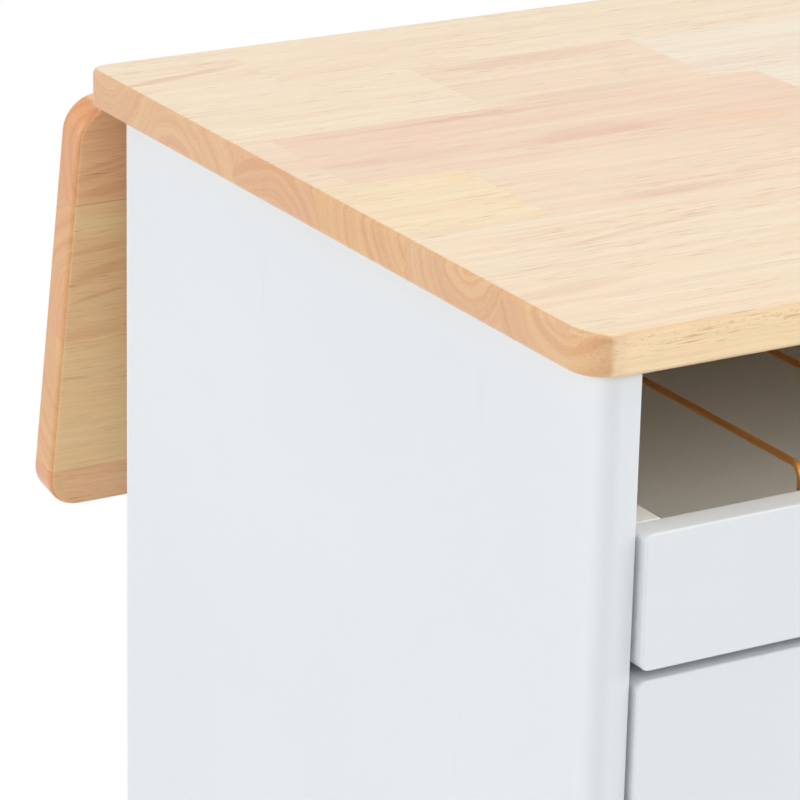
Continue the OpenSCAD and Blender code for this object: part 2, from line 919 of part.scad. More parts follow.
// Plate on the back panel with two ears for the stay's pin, and a stop rivet between the ears
// that the hanging stay rests against
module stay_bracket(s) {
    plate_w = 44;
    plate_h = 60;
    hole = 4.5;
    hole_x = 15;
    hole_z = 20;
    stop_d = 4;
    stop_out = 14;
    stop_gap = 0.3;
    stop_side = stay_w / 2 + stop_d / 2 + stop_gap;
    stop_y = stay_y + stop_out * sin(stay_rest) - stop_side * cos(stay_rest);
    stop_z = stay_z - stop_out * cos(stay_rest) - stop_side * sin(stay_rest);
    outside = stay_inside + 2 * sheet_t;
    color(STEEL)
        translate([s * stay_x, 0, 0])
            difference() {
                union() {
                    block([-plate_w / 2, case_back, stay_z - plate_h / 2],
                          [plate_w / 2, case_back + sheet_t, stay_z + plate_h / 2]);
                    for (m = [0, 1])
                        mirror([m, 0, 0])
                            translate([stay_inside / 2, 0, 0])
                                rotate([90, 0, 90])
                                    linear_extrude(sheet_t) bracket_ear(stop_z);
                    translate([-outside / 2, stop_y, stop_z])
                        rotate([0, 90, 0]) cylinder(h = outside, d = stop_d);
                }
                translate([-outside, stay_y, stay_z])
                    rotate([0, 90, 0]) cylinder(h = 2 * outside, d = stay_pin_d);
                for (x = [-hole_x, hole_x])
                    for (z = [-hole_z, hole_z])
                        translate([x, case_back - 1, stay_z + z])
                            rotate([-90, 0, 0]) cylinder(h = sheet_t + 2, d = hole);
            }
}

module left_stay_bracket() {
    stay_bracket(-1);
}

module right_stay_bracket() {
    stay_bracket(1);
}

module stay_pin(s) {
    half = stay_inside / 2 + sheet_t;
    head_t = 1.5;
    head_d = stay_pin_d + 2.5;
    color(STEEL)
        translate([s * stay_x, stay_y, stay_z])
            rotate([0, 90, 0]) {
                translate([0, 0, -half]) cylinder(h = 2 * half, d = stay_pin_d);
                translate([0, 0, half]) cylinder(h = head_t, d = head_d);
                translate([0, 0, -half - head_t]) cylinder(h = head_t, d = head_d);
            }
}

module left_stay_pin() {
    stay_pin(-1);
}

module right_stay_pin() {
    stay_pin(1);
}

// Flat bar with a bored root and a round nose, drawn hanging
module stay(s) {
    color(STEEL)
        translate([s * stay_x - stay_t / 2, stay_y, stay_z])
            rotate([stay_rest, 0, 0])
                rotate([90, 0, 90])
                    linear_extrude(stay_t)
                        difference() {
                            union() {
                                circle(root_r);
                                translate([-stay_w / 2, -stay_l]) square([stay_w, stay_l]);
                                translate([0, -stay_l]) circle(nose_r);
                            }
                            circle(d = stay_pin_d + 2 * pin_play);
                        }
}

module left_stay() {
    stay(-1);
}

module right_stay() {
    stay(1);
}

countertop();
left_side_panel();
right_side_panel();
centre_partition();
bottom_panel();
back_panel();
back_rail();
left_deck();
right_deck();
left_shelf();
right_shelf();
shelf_pins();
left_runners();
right_runners();
feet();
top_brackets();
left_door_catch();
right_door_catch();
left_door_jamb_hinges();
right_door_jamb_hinges();
left_door_hinge_pins();
right_door_hinge_pins();
top_hinges();
leaf_hinge_pins();
left_stay_bracket();
right_stay_bracket();
left_stay_pin();
right_stay_pin();
left_drawer_front();
left_drawer_sides();
left_drawer_back();
left_drawer_bottom();
left_drawer_rack();
right_drawer_front();
right_drawer_sides();
right_drawer_back();
right_drawer_bottom();
right_drawer_rack();
left_door();
left_door_knob();
left_door_hinges();
left_door_strike();
right_door();
right_door_knob();
right_door_hinges();
right_door_strike();
drop_leaf();
leaf_hinges();
left_leaf_track();
right_leaf_track();
left_stay();
right_stay();
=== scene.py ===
# Looks of a drop leaf kitchen island with a butcher-block worktop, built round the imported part.
# Metres, in the part's own frame: X along the worktop, the front faces -Y, the feet stand on Z = 0.

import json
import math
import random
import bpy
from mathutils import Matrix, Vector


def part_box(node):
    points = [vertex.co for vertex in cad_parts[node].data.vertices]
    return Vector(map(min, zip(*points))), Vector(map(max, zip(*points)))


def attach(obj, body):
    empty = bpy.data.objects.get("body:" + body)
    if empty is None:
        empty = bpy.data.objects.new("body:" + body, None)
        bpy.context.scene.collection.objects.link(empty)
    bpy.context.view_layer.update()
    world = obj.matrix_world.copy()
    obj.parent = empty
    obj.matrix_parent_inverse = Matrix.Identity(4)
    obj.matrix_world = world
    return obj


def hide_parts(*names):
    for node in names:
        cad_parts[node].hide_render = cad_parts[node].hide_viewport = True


bl_info = {
    "name": "Drop leaf kitchen island",
    "version": (1, 0, 0),
    "blender": (4, 5, 0),
    "location": "View3D > Sidebar > Island",
    "description": "Dresses the packed kitchen island in wood, white lacquer, brass and zinc",
    "category": "Add Mesh",
}

import bmesh
import bpy
from mathutils import Matrix, Vector

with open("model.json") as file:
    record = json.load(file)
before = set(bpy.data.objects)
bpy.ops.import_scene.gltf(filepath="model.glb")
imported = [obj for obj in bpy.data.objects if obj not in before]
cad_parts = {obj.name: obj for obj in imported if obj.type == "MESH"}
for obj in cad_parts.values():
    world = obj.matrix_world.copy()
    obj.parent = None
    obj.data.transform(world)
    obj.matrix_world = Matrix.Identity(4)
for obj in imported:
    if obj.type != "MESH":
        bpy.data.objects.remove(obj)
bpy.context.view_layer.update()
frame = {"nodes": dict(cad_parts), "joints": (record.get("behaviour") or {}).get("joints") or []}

MM = 0.001
SIDES = ("left", "right")
LEAF_DEPTH = 212 * MM


def linear(red, green, blue):
    """Scene-linear colour of an 8-bit sRGB one."""
    def one(v):
        v /= 255
        return v / 12.92 if v <= 0.04045 else ((v + 0.055) / 1.055) ** 2.4
    return (one(red), one(green), one(blue))


def colour_property(name, description, rgb):
    return bpy.props.FloatVectorProperty(
        name=name, description=description, subtype="COLOR", size=3, min=0, max=1,
        default=linear(*rgb))


def length_property(name, description, default, low, high):
    return bpy.props.FloatProperty(
        name=name, description=description, default=default, min=low, max=high,
        subtype="DISTANCE", unit="LENGTH", precision=4)


def power_property(name, description, default):
    return bpy.props.FloatProperty(name=name, description=description, default=default, min=0,
                                   max=400, subtype="POWER", unit="POWER")


# ---- settings ----

class IslandWoodSettings(bpy.types.PropertyGroup):
    """Tints and sizes of the glued-up boards"""
    # The worktop's tints are paler than the wood itself: they hold part of the top's sheen as painted
    # sheen, which front_edge_tones takes back on the front edge.
    cream: colour_property("Cream stave", "Commonest tint of the staves", (246, 225, 190))
    pale: colour_property("Pale stave", "The whitest staves", (244, 229, 202))
    yellow: colour_property("Yellow stave", "Warm yellow staves", (247, 224, 180))
    peach: colour_property("Peach stave", "Slightly pink staves", (244, 218, 184))
    pink: colour_property("Pink stave", "The pinkest staves", (243, 210, 178))
    # The leaf's tints are redder than the worktop's: they hold the warm bounce light in the shade
    # under the leaf, painted into the wood's colour.
    tan: colour_property("Tan stave", "The brownest staves", (252, 211, 158))
    honey: colour_property("Honey stave", "Golden staves of the leaf", (254, 218, 162))
    russet: colour_property("Russet stave", "The reddest staves", (250, 200, 150))
    stave_width: length_property("Stave width", "Width of one glued stave", 0.072, 0.03, 0.12)
    corner_radius: length_property("Corner radius", "Corners of both boards, from above",
                                   0.017, 0.005, 0.05)
    back_radius: length_property("Back corner radius", "Worktop's corners next to the leaf",
                                 0.009, 0.003, 0.017)
    edge_radius: length_property("Edge radius", "Rounding along the boards' edges",
                                 0.0025, 0.001, 0.006)


class IslandFinishSettings(bpy.types.PropertyGroup):
    """Colours of paint, metal and plastic"""
    lacquer: colour_property("Lacquer", "White lacquer of the case and the fronts", (234, 238, 241))
    inner: colour_property("Inner lacquer", "Lacquer inside the case and the drawers", (241, 243, 238))
    brass: colour_property("Brass", "Wire racks and knobs", (214, 148, 78))
    zinc: colour_property("Zinc", "Plated hinges, stays and brackets", (176, 178, 180))
    foot: colour_property("Foot", "Plastic feet", (52, 52, 54))
    catch: colour_property("Catch", "Plastic magnetic catches", (232, 232, 228))
    paint_edge: length_property("Painted edge", "Radius of the painted boards' edges",
                                0.0006, 0.0002, 0.003)


class IslandStageSettings(bpy.types.PropertyGroup):
    """Camera, lamps and floor"""
    lens: bpy.props.FloatProperty(name="Lens", description="Focal length on a 36 mm sensor, in mm",
                                  default=187.325, min=20, max=400)
    left: power_property("Left lamp", "Lamp at the left end", 49)
    behind: power_property("Lamp behind", "Lamp at the left, a little behind", 69)
    near: power_property("Near lamp", "Lamp above the camera", 78)
    right: power_property("Right lamp", "Lamp at the right of the front", 156)
    overhead: power_property("Overhead lamp", "Lamp above the worktop", 122)
    ambient: bpy.props.FloatProperty(name="Surroundings", default=0.35, min=0, max=2,
                                     description="Light of the white surroundings")
    shade: bpy.props.FloatProperty(name="Shade", description="How much darker the surroundings are "
                                   "behind the camera", default=0.4, min=0, max=1)
    floor: colour_property("Floor", "Plain pale floor", (244, 244, 244))


# ---- meshes ----

def link(name, mesh):
    piece = bpy.data.objects.new(name, mesh)
    bpy.context.scene.collection.objects.link(piece)
    return piece


def dress(name, shape, body, slot, replaced=(), place=None):
    """Turns a bmesh into a piece in a slot's finish, which rides on a body and stands for nodes."""
    if place is not None:
        bmesh.ops.transform(shape, matrix=place, verts=shape.verts)
    bmesh.ops.recalc_face_normals(shape, faces=shape.faces)
    mesh = bpy.data.meshes.new(name)
    shape.to_mesh(mesh)
    shape.free()
    mesh.shade_smooth()
    mesh.materials.append(finish(slot))
    piece = link(name, mesh)
    normals = piece.modifiers.new("flat faces stay flat", "WEIGHTED_NORMAL")
    normals.mode = "FACE_AREA"
    normals.weight = 50
    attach(piece, body)
    if replaced:
        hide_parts(*replaced)
    return piece


def loft(rings):
    """Closed solid through rings of points, with a flat face on the first ring and on the last."""
    shape = bmesh.new()
    loops = [[shape.verts.new(point) for point in ring] for ring in rings]
    for lower, upper in zip(loops, loops[1:]):
        for i in range(len(lower)):
            j = (i + 1) % len(lower)
            shape.faces.new((lower[i], lower[j], upper[j], upper[i]))
    shape.faces.new(loops[0])
    shape.faces.new(loops[-1])
    bmesh.ops.recalc_face_normals(shape, faces=shape.faces)
    return shape


def prism(outline, low, high, along_x=False):
    """Closed prism of an outline in XY, or in YZ where it runs along X."""
    return loft([[(height, a, b) if along_x else (a, b, height) for a, b in outline]
                 for height in (low, high)])


def soften(shape, radius, steps=3, least_angle=30):
    """Rounds every sharp edge of a shape."""
    sharp = [e for e in shape.edges
             if len(e.link_faces) == 2 and e.calc_face_angle() > math.radians(least_angle)]
    bmesh.ops.bevel(shape, geom=sharp, offset=radius, segments=steps, profile=0.5,
                    affect="EDGES", clamp_overlap=True)
    return shape


def box_shape(low, high, radius):
    outline = [(low[0], low[1]), (high[0], low[1]), (high[0], high[1]), (low[0], high[1])]
    return soften(prism(outline, low[2], high[2]), radius)


def join_shapes(shapes):
    """One bmesh that holds several, as separate closed solids."""
    whole = bmesh.new()
    for shape in shapes:
        mesh = bpy.data.meshes.new("part")
        shape.to_mesh(mesh)
        shape.free()
        whole.from_mesh(mesh)
        bpy.data.meshes.remove(mesh)
    return whole


def arc(centre, radius, start, end, steps):
    """Points of an arc, both ends included; the angles are in degrees."""
    points = []
    for i in range(steps + 1):
        a = math.radians(start + (end - start) * i / steps)
        points.append((centre[0] + radius * math.cos(a), centre[1] + radius * math.sin(a)))
    return points


def rounded_rectangle(width, depth, front, back, steps):
    """Outline with its own corner radius at the front (-Y) and at the back."""
    points = []
    for x, y, start, radius in ((1, 1, 0, back), (-1, 1, 90, back), (-1, -1, 180, front),
                                (1, -1, 270, front)):
        centre = (x * (width / 2 - radius), y * (depth / 2 - radius))
        points += arc(centre, radius, start, start + 90, steps)
    return points


def rounded_board(width, depth, thick, corner, edge, back=None, corner_steps=10, edge_steps=5):
    """Board on Z = 0, centred on X and Y, with round corners and round edges."""
    back = corner if back is None else back
    quarter = [math.radians(90 * i / edge_steps) for i in range(edge_steps + 1)]
    profile = [(edge * (1 - math.sin(a)), edge * (1 - math.cos(a))) for a in quarter]
    profile += [(inset, thick - height) for inset, height in reversed(profile)]
    rings = []
    for inset, height in profile:
        plan = rounded_rectangle(width - 2 * inset, depth - 2 * inset, corner - inset,
                                 back - inset, corner_steps)
        rings.append([(x, y, height) for x, y in plan])
    return loft(rings)


def turned(profile, centre, axes, steps):
    """Solid turned from (radius, height) points, the first and last on the last of three axes."""
    shape = bmesh.new()
    u, v, w = (Vector(axis) for axis in axes)
    centre = Vector(centre)
    start = shape.verts.new(centre + w * profile[0][1])
    end = shape.verts.new(centre + w * profile[-1][1])
    rings = []
    for radius, height in profile[1:-1]:
        ring = []
        for i in range(steps):
            a = 2 * math.pi * i / steps
            out = (u * math.cos(a) + v * math.sin(a)) * radius
            ring.append(shape.verts.new(centre + out + w * height))
        rings.append(ring)
    for i in range(steps):
        j = (i + 1) % steps
        shape.faces.new((start, rings[0][i], rings[0][j]))
        shape.faces.new((end, rings[-1][j], rings[-1][i]))
        for lower, upper in zip(rings, rings[1:]):
            shape.faces.new((lower[i], lower[j], upper[j], upper[i]))
    return shape


def tube(path, radii, sides=16):
    """Round wire along a path of points, with a radius at each point and closed ends."""
    points = [Vector(p) for p in path]
    rings = []
    side = None
    for i, point in enumerate(points):
        ahead = points[min(i + 1, len(points) - 1)] - points[max(i - 1, 0)]
        ahead.normalize()
        if side is None:
            side = ahead.orthogonal()
        side = (side - ahead * side.dot(ahead)).normalized()
        up = ahead.cross(side)
        turns = [2 * math.pi * k / sides for k in range(sides)]
        rings.append([point + (side * math.cos(a) + up * math.sin(a)) * radii[i] for a in turns])
    return loft(rings)


def screw_head(centre, outward, radius, deep):
    """Head that fills a hole, just below its rim, with a cross recess."""
    arm = radius * 0.62
    half_arm = radius * 0.16
    top = -0.00012
    chamfer = 0.0002
    dome = 0.0001
    recess = 0.0007
    corner = math.degrees(math.atan2(half_arm, arm))
    angles = [math.radians(quarter + a) for quarter in (0, 90, 180, 270)
              for a in (0, corner, 30, 45, 60, 90 - corner)]

    def circle(size, height):
        return [(size * math.cos(a), size * math.sin(a), height) for a in angles]

    def cross(size, height):
        ring = []
        for a in angles:
            c = abs(math.cos(a)) + 1e-9
            s = abs(math.sin(a)) + 1e-9
            reach = size * max(min(arm / c, half_arm / s), min(half_arm / c, arm / s))
            ring.append((reach * math.cos(a), reach * math.sin(a), height))
        return ring

    shape = loft([circle(radius, -deep), circle(radius, top - chamfer),
                  circle(radius - chamfer, top), cross(1, top + dome), cross(0.7, top - recess)])
    turn = Vector(outward).to_track_quat("Z", "Y").to_matrix().to_4x4()
    bmesh.ops.transform(shape, matrix=Matrix.Translation(centre) @ turn, verts=shape.verts)
    return shape


# ---- node helpers ----

class Nodes:
    """Adds and joins the nodes of one tree."""

    def __init__(self, tree):
        self.tree = tree

    def add(self, kind, **settings):
        node = self.tree.nodes.new(kind)
        for name, value in settings.items():
            setattr(node, name, value)
        return node

    def put(self, socket, value):
        if isinstance(value, bpy.types.NodeSocket):
            self.tree.links.new(value, socket)
        elif value is not None:
            socket.default_value = value

    def math(self, operation, a, b=None, c=None, clamp=False):
        node = self.add("ShaderNodeMath", operation=operation, use_clamp=clamp)
        for socket, value in zip(node.inputs, (a, b, c)):
            self.put(socket, value)
        return node.outputs[0]

    def vector(self, operation, a, b=None):
        node = self.add("ShaderNodeVectorMath", operation=operation)
        self.put(node.inputs[0], a)
        self.put(node.inputs[1], b)
        return node.outputs["Value" if operation in ("LENGTH", "DOT_PRODUCT") else "Vector"]

    def split(self, vector):
        node = self.add("ShaderNodeSeparateXYZ")
        self.put(node.inputs[0], vector)
        return node.outputs["X"], node.outputs["Y"], node.outputs["Z"]

    def join(self, x, y, z):
        node = self.add("ShaderNodeCombineXYZ")
        for socket, value in zip(node.inputs, (x, y, z)):
            self.put(socket, value)
        return node.outputs[0]

    def noise(self, vector, scale, detail=2.0, roughness=0.5, line=None):
        node = self.add("ShaderNodeTexNoise", noise_dimensions="3D" if line is None else "1D")
        if line is None:
            self.put(node.inputs["Vector"], vector)
        else:
            self.put(node.inputs["W"], line)
        self.put(node.inputs["Scale"], scale)
        self.put(node.inputs["Detail"], detail)
        self.put(node.inputs["Roughness"], roughness)
        return node.outputs["Fac"]

    def ease(self, value, low, high, to_low=0.0, to_high=1.0):
        node = self.add("ShaderNodeMapRange", interpolation_type="SMOOTHSTEP")
        self.put(node.inputs["Value"], value)
        self.put(node.inputs["From Min"], low)
        self.put(node.inputs["From Max"], high)
        self.put(node.inputs["To Min"], to_low)
        self.put(node.inputs["To Max"], to_high)
        return node.outputs["Result"]

    def mix(self, factor, a, b, blend="MIX"):
        node = self.add("ShaderNodeMix", data_type="RGBA", blend_type=blend)
        self.put(node.inputs["Factor"], factor)
        colours = [socket for socket in (*node.inputs, *node.outputs) if socket.type == "RGBA"]
        self.put(colours[0], a)
        self.put(colours[1], b)
        return colours[2]

    def shade(self, colour, amount):
        """A colour times a grey."""
        return self.mix(1.0, colour, self.join(amount, amount, amount), "MULTIPLY")

    def tone(self, factor, colour, tone):
        """A colour multiplied by a tone as far as the factor says."""
        return self.mix(factor, colour, self.mix(1.0, colour, (*tone, 1), "MULTIPLY"))


def new_group(name, inputs, outputs):
    """Shader node group with named sockets; returns its tree and the insides of both ends."""
    tree = bpy.data.node_groups.new(name, "ShaderNodeTree")
    kinds = {"colour": "NodeSocketColor", "vector": "NodeSocketVector", "value": "NodeSocketFloat"}
    for direction, sockets in (("INPUT", inputs), ("OUTPUT", outputs)):
        for socket_name, kind in sockets:
            tree.interface.new_socket(name=socket_name, in_out=direction, socket_type=kinds[kind])
    nodes = Nodes(tree)
    return nodes, nodes.add("NodeGroupInput").outputs, nodes.add("NodeGroupOutput").inputs


def use_group(nodes, name, **values):
    node = nodes.add("ShaderNodeGroup", node_tree=bpy.data.node_groups[name])
    for socket_name, value in values.items():
        nodes.put(node.inputs[socket_name.replace("_", " ")], value)
    return node.outputs


def make_fibre_group():
    """Fibres, pores, hairlines and streaks of a board whose grain runs along X."""
    nodes, given, out = new_group(
        "wood fibre", [("Position", "vector"), ("Seed", "value")],
        [("Fibre", "value"), ("Pore", "value"), ("Hair", "value"), ("Streak", "value"),
         ("Pale", "value"), ("Speck", "value")])
    x, y, z = nodes.split(given["Position"])
    shift = nodes.math("MULTIPLY", given["Seed"], 3.7)

    def along_grain(length, width, detail, start=0.0):
        at = nodes.join(nodes.math("MULTIPLY_ADD", x, 1 / length, shift),
                        nodes.math("MULTIPLY_ADD", y, 1 / width, start),
                        nodes.math("MULTIPLY", z, 1 / width))
        return nodes.noise(at, 1.0, detail, 0.6)

    nodes.put(out["Fibre"], along_grain(0.042, 0.0011, 3.0))
    dash = nodes.ease(along_grain(0.015, 0.00065, 1.0), 0.59, 0.72)
    patch = nodes.ease(along_grain(0.11, 0.013, 2.0), 0.40, 0.62, 0.1, 1.0)
    nodes.put(out["Pore"], nodes.math("MULTIPLY", dash, patch))
    thread = nodes.ease(along_grain(0.034, 0.0013, 2.0, 5.3), 0.55, 0.72)
    patch = nodes.ease(along_grain(0.17, 0.019, 2.0, 2.9), 0.42, 0.62)
    nodes.put(out["Hair"], nodes.math("MULTIPLY", thread, patch))
    for name, grain, low, high in (("Streak", (0.20, 0.0085, 3.0), 0.44, 0.66),
                                   ("Pale", (0.16, 0.007, 2.0, 8.1), 0.46, 0.68),
                                   ("Speck", (0.0021, 0.0006, 1.0, 3.3), 0.57, 0.68)):
        nodes.put(out[name], nodes.ease(along_grain(*grain), low, high))


def make_mark_group():
    """Long ragged spot that leans across the grain."""
    nodes, given, out = new_group(
        "grain mark", [("Position", "vector"), ("Centre", "vector"), ("Length", "value"),
                       ("Width", "value"), ("Slant", "value")], [("Mask", "value")])
    x, y, _ = nodes.split(nodes.vector("SUBTRACT", given["Position"], given["Centre"]))
    across = nodes.math("SUBTRACT", y, nodes.math("MULTIPLY", x, given["Slant"]))
    ragged = nodes.noise(nodes.join(nodes.math("MULTIPLY", x, 30), nodes.math("MULTIPLY", y, 420),
                                    0.5), 1.0, 3.0, 0.6)
    u = nodes.math("DIVIDE", x, given["Length"])
    v = nodes.math("DIVIDE", across, given["Width"])
    reach = nodes.math("SQRT", nodes.math("ADD", nodes.math("MULTIPLY", u, u),
                                          nodes.math("MULTIPLY", v, v)))
    reach = nodes.math("MULTIPLY_ADD", nodes.math("SUBTRACT", ragged, 0.5), 1.5, reach)
    nodes.put(out["Mask"], nodes.ease(reach, 0.45, 1.05, 1.0, 0.0))


def make_ring_group():
    """Growth rings round a leaning pith, cut by whatever face the board has there."""
    nodes, given, out = new_group(
        "growth rings",
        [("Position", "vector"), ("Pith", "vector"), ("Lean", "vector")],
        [("Ring", "value"), ("Zone", "value")])
    from_pith = nodes.vector("SUBTRACT", given["Position"], given["Pith"])
    x, y, z = nodes.split(from_pith)
    lean_y, lean_z, seed = nodes.split(given["Lean"])
    y = nodes.math("SUBTRACT", y, nodes.math("MULTIPLY", x, lean_y))
    z = nodes.math("SUBTRACT", z, nodes.math("MULTIPLY", x, lean_z))
    wander_at = nodes.join(nodes.math("MULTIPLY_ADD", x, 3.6, nodes.math("MULTIPLY", seed, 9.1)),
                           nodes.math("MULTIPLY", y, 22), nodes.math("MULTIPLY", z, 22))
    wander = nodes.math("SUBTRACT", nodes.noise(wander_at, 1.0, 3.0, 0.55), 0.5)
    radius = nodes.math("SQRT", nodes.math("ADD", nodes.math("MULTIPLY", y, y),
                                           nodes.math("MULTIPLY", z, z)))
    radius = nodes.math("MULTIPLY_ADD", wander, 0.014, radius)
    line = nodes.math("MULTIPLY_ADD", radius, 230, nodes.math("MULTIPLY", seed, 31))
    nodes.put(out["Ring"], nodes.ease(nodes.noise(None, 1.0, 3.0, 0.6, line=line), 0.34, 0.74))
    broad = nodes.math("MULTIPLY_ADD", radius, 55, nodes.math("MULTIPLY", seed, 17))
    nodes.put(out["Zone"], nodes.ease(nodes.noise(None, 1.0, 2.0, 0.5, line=broad), 0.34, 0.68))


def make_speckle_group():
    """Fine uneven surface, for lacquer, plastic and plated metal."""
    nodes, given, out = new_group(
        "fine surface", [("Position", "vector"), ("Scale", "value")],
        [("Height", "value"), ("Drift", "value"), ("Smudge", "value")])
    nodes.put(out["Height"], nodes.noise(given["Position"], given["Scale"], 2.0, 0.5))
    nodes.put(out["Drift"], nodes.noise(given["Position"], 5.0, 2.0, 0.5))
    drawn_down = nodes.vector("MULTIPLY", given["Position"], (90, 90, 9))
    smudge = nodes.ease(nodes.noise(drawn_down, 1.0, 3.0, 0.6), 0.62, 0.78)
    where = nodes.ease(nodes.noise(given["Position"], 9.0, 1.0, 0.5), 0.5, 0.65)
    nodes.put(out["Smudge"], nodes.math("MULTIPLY", smudge, where))


def new_material(name):
    material = bpy.data.materials.new("island " + name)
    material.use_nodes = True
    tree = material.node_tree
    tree.nodes.clear()
    nodes = Nodes(tree)
    shader = nodes.add("ShaderNodeBsdfPrincipled")
    surface = nodes.add("ShaderNodeOutputMaterial")
    tree.links.new(shader.outputs[0], surface.inputs["Surface"])
    position = nodes.add("ShaderNodeTexCoord")
    return material, nodes, shader, position


def bump(nodes, shader, height, distance, strength=1.0):
    node = nodes.add("ShaderNodeBump")
    node.inputs["Strength"].default_value = strength
    node.inputs["Distance"].default_value = distance
    nodes.put(node.inputs["Height"], height)
    nodes.put(shader.inputs["Normal"], node.outputs["Normal"])


# Tones that marks multiply the wood's tint by.
MARK_TONES = {"brown": (0.86, 0.71, 0.64), "umber": (0.925, 0.84, 0.78), "red": (0.93, 0.85, 0.84),
              "blush": (0.97, 0.91, 0.89), "gold": (1.01, 0.96, 0.84), "light": (1.01, 1.08, 1.05)}

# Marks of the worktop that the photograph shows: middle from the left end and from the front
# edge, half the length and half the width, all in millimetres, then the slant and the tone.
WORKTOP_MARKS = [
    (31, 386, 42, 3.6, 0.16, "brown"), (150, 230, 46, 11, -0.03, "red"),
    (62, 234, 52, 7, 0.0, "red"), (112, 220, 84, 3.6, 0.02, "light"),
    (175, 247, 110, 2.6, -0.05, "light"), (62, 198, 10, 9, 0.0, "gold"),
    (136, 144, 36, 6, 0.0, "red"), (95, 107, 54, 2.6, 0.175, "red"),
    (187, 343, 62, 8, 0.0, "red"), (190, 286, 62, 6, 0.0, "red"), (26, 54, 40, 7, 0.08, "red"),
    (135, 273, 122, 3, 0.0, "red"), (225, 222, 32, 8, -0.25, "gold"),
    (330, 250, 90, 4, 0.0, "red")]
# The same for the leaf, from its left end and from its hinge edge.
LEAF_MARKS = [
    (14, 14, 34, 13, 0.0, "blush"), (12, 34, 22, 2.4, -0.22, "umber"),
    (15, 29, 18, 1.8, -0.22, "umber"), (20, 42, 18, 4.2, -0.15, "umber"),
    (15, 48.8, 30, 0.5, 0.0, "brown"), (14, 60, 34, 7, 0.0, "light"),
    (15, 73, 24, 2.2, -0.1, "umber"), (17, 85, 22, 4.0, -0.28, "umber"),
    (17, 97.5, 22, 1.8, -0.22, "umber"), (14, 118, 22, 5, -0.1, "blush"),
    (10, 141, 10, 1.2, 0.1, "umber")]


def wood_material(name, depth, end_tone, marks, half_size):
    """Varnished wood whose tint, pith and lean are written on each block of the board.

    The depth says how strong the figure is. Only the worktop has an edge upright at rest.
    """
    material, nodes, shader, position = new_material(name)
    block = {}
    for key, output in (("tint", "Color"), ("pith", "Vector"), ("lean", "Vector")):
        block[key] = nodes.add("ShaderNodeAttribute", attribute_name="block_" + key).outputs[output]
    at = nodes.add("ShaderNodeAttribute", attribute_name="board_place").outputs["Vector"]
    seed = nodes.split(block["lean"])[2]
    rings = use_group(nodes, "growth rings", Position=at, Pith=block["pith"], Lean=block["lean"])
    fibre = use_group(nodes, "wood fibre", Position=at, Seed=seed)
    facing = [nodes.math("ABSOLUTE", value) for value in nodes.split(position.outputs["Normal"])]
    # 1 on faces that stand upright, where the figure is fainter
    upright = nodes.ease(facing[2], 0.5, 0.1)
    figure = nodes.math("MULTIPLY_ADD", upright, -0.7 * depth, depth)
    line = nodes.ease(fibre["Fibre"], 0.28, 0.72, 0.94, 1.035)

    colour = block["tint"]
    for mask, strength, tone in (
            (rings["Zone"], figure, (0.985, 0.94, 0.90)),
            (rings["Ring"], figure, (0.96, 0.885, 0.84)),
            (fibre["Streak"], figure, (0.965, 0.875, 0.85)),
            (fibre["Pale"], depth, (1.01, 1.05, 1.08))):
        colour = nodes.tone(nodes.math("MULTIPLY", mask, strength), colour, tone)
    for x, y, length, width, slant, tone in marks:
        centre = (x * MM - half_size.x, y * MM - half_size.y, 0)
        mask = use_group(nodes, "grain mark", Position=at, Centre=centre, Length=length * MM,
                         Width=width * MM, Slant=slant)["Mask"]
        colour = nodes.tone(mask, colour, MARK_TONES[tone])
    colour = nodes.shade(colour, line)
    colour = nodes.tone(fibre["Hair"], colour, (0.92, 0.80, 0.75))
    colour = nodes.tone(fibre["Pore"], colour, (0.78, 0.61, 0.51))
    # painted sheen: the front edge is toned back from the sheen painted into the stave tints
    if name == "worktop_wood":
        colour = front_edge_tones(nodes, colour, fibre, upright, facing[2], nodes.split(at)[2])

    ends = nodes.tone(1.0, block["tint"], end_tone)
    ends = nodes.tone(rings["Zone"], ends, (0.965, 0.915, 0.945))
    ends = nodes.tone(rings["Ring"], ends, (0.925, 0.80, 0.72))
    ends = nodes.shade(ends, line)
    ends = nodes.tone(nodes.math("MULTIPLY", fibre["Speck"], 0.5), ends, (0.86, 0.74, 0.66))
    end_grain = nodes.ease(facing[0], 0.3, 0.46)
    nodes.put(shader.inputs["Base Color"], nodes.mix(end_grain, colour, ends))
    nodes.put(shader.inputs["Roughness"], nodes.ease(fibre["Fibre"], 0.2, 0.8, 0.34, 0.46))
    shader.inputs["Coat Weight"].default_value = 0.5
    shader.inputs["Coat Roughness"].default_value = 0.28
    height = nodes.math("SUBTRACT", nodes.math("MULTIPLY", fibre["Fibre"], 0.4), fibre["Pore"])
    bump(nodes, shader, height, 0.00012, 0.5)
    return material


def front_edge_tones(nodes, colour, fibre, upright, facing_up, height):
    """Front edge toned yellower than the top, taking back on upright faces the painted sheen in the
    staves' paler tints; flecked near its top and red near its foot, with a golden rim.
    """
    # painted sheen: upright faces get back the yellower tint that the paler stave tints give up to the
    # top's sheen
    colour = nodes.tone(upright, colour, (1.04, 0.97, 0.865))
    upper = nodes.math("MULTIPLY", upright, nodes.ease(height, 0.008, 0.0135))
    colour = nodes.tone(nodes.math("MULTIPLY", fibre["Speck"], upper), colour, (0.90, 0.79, 0.65))
    lower = nodes.math("MULTIPLY", upright, nodes.ease(height, 0.009, 0.002))
    colour = nodes.tone(nodes.math("MULTIPLY", fibre["Hair"], lower), colour, (0.97, 0.80, 0.72))
    rim = nodes.math("MULTIPLY", nodes.ease(facing_up, 0.2, 0.5), nodes.ease(facing_up, 0.98, 0.85))
    return nodes.tone(rim, colour, (0.96, 0.88, 0.74))


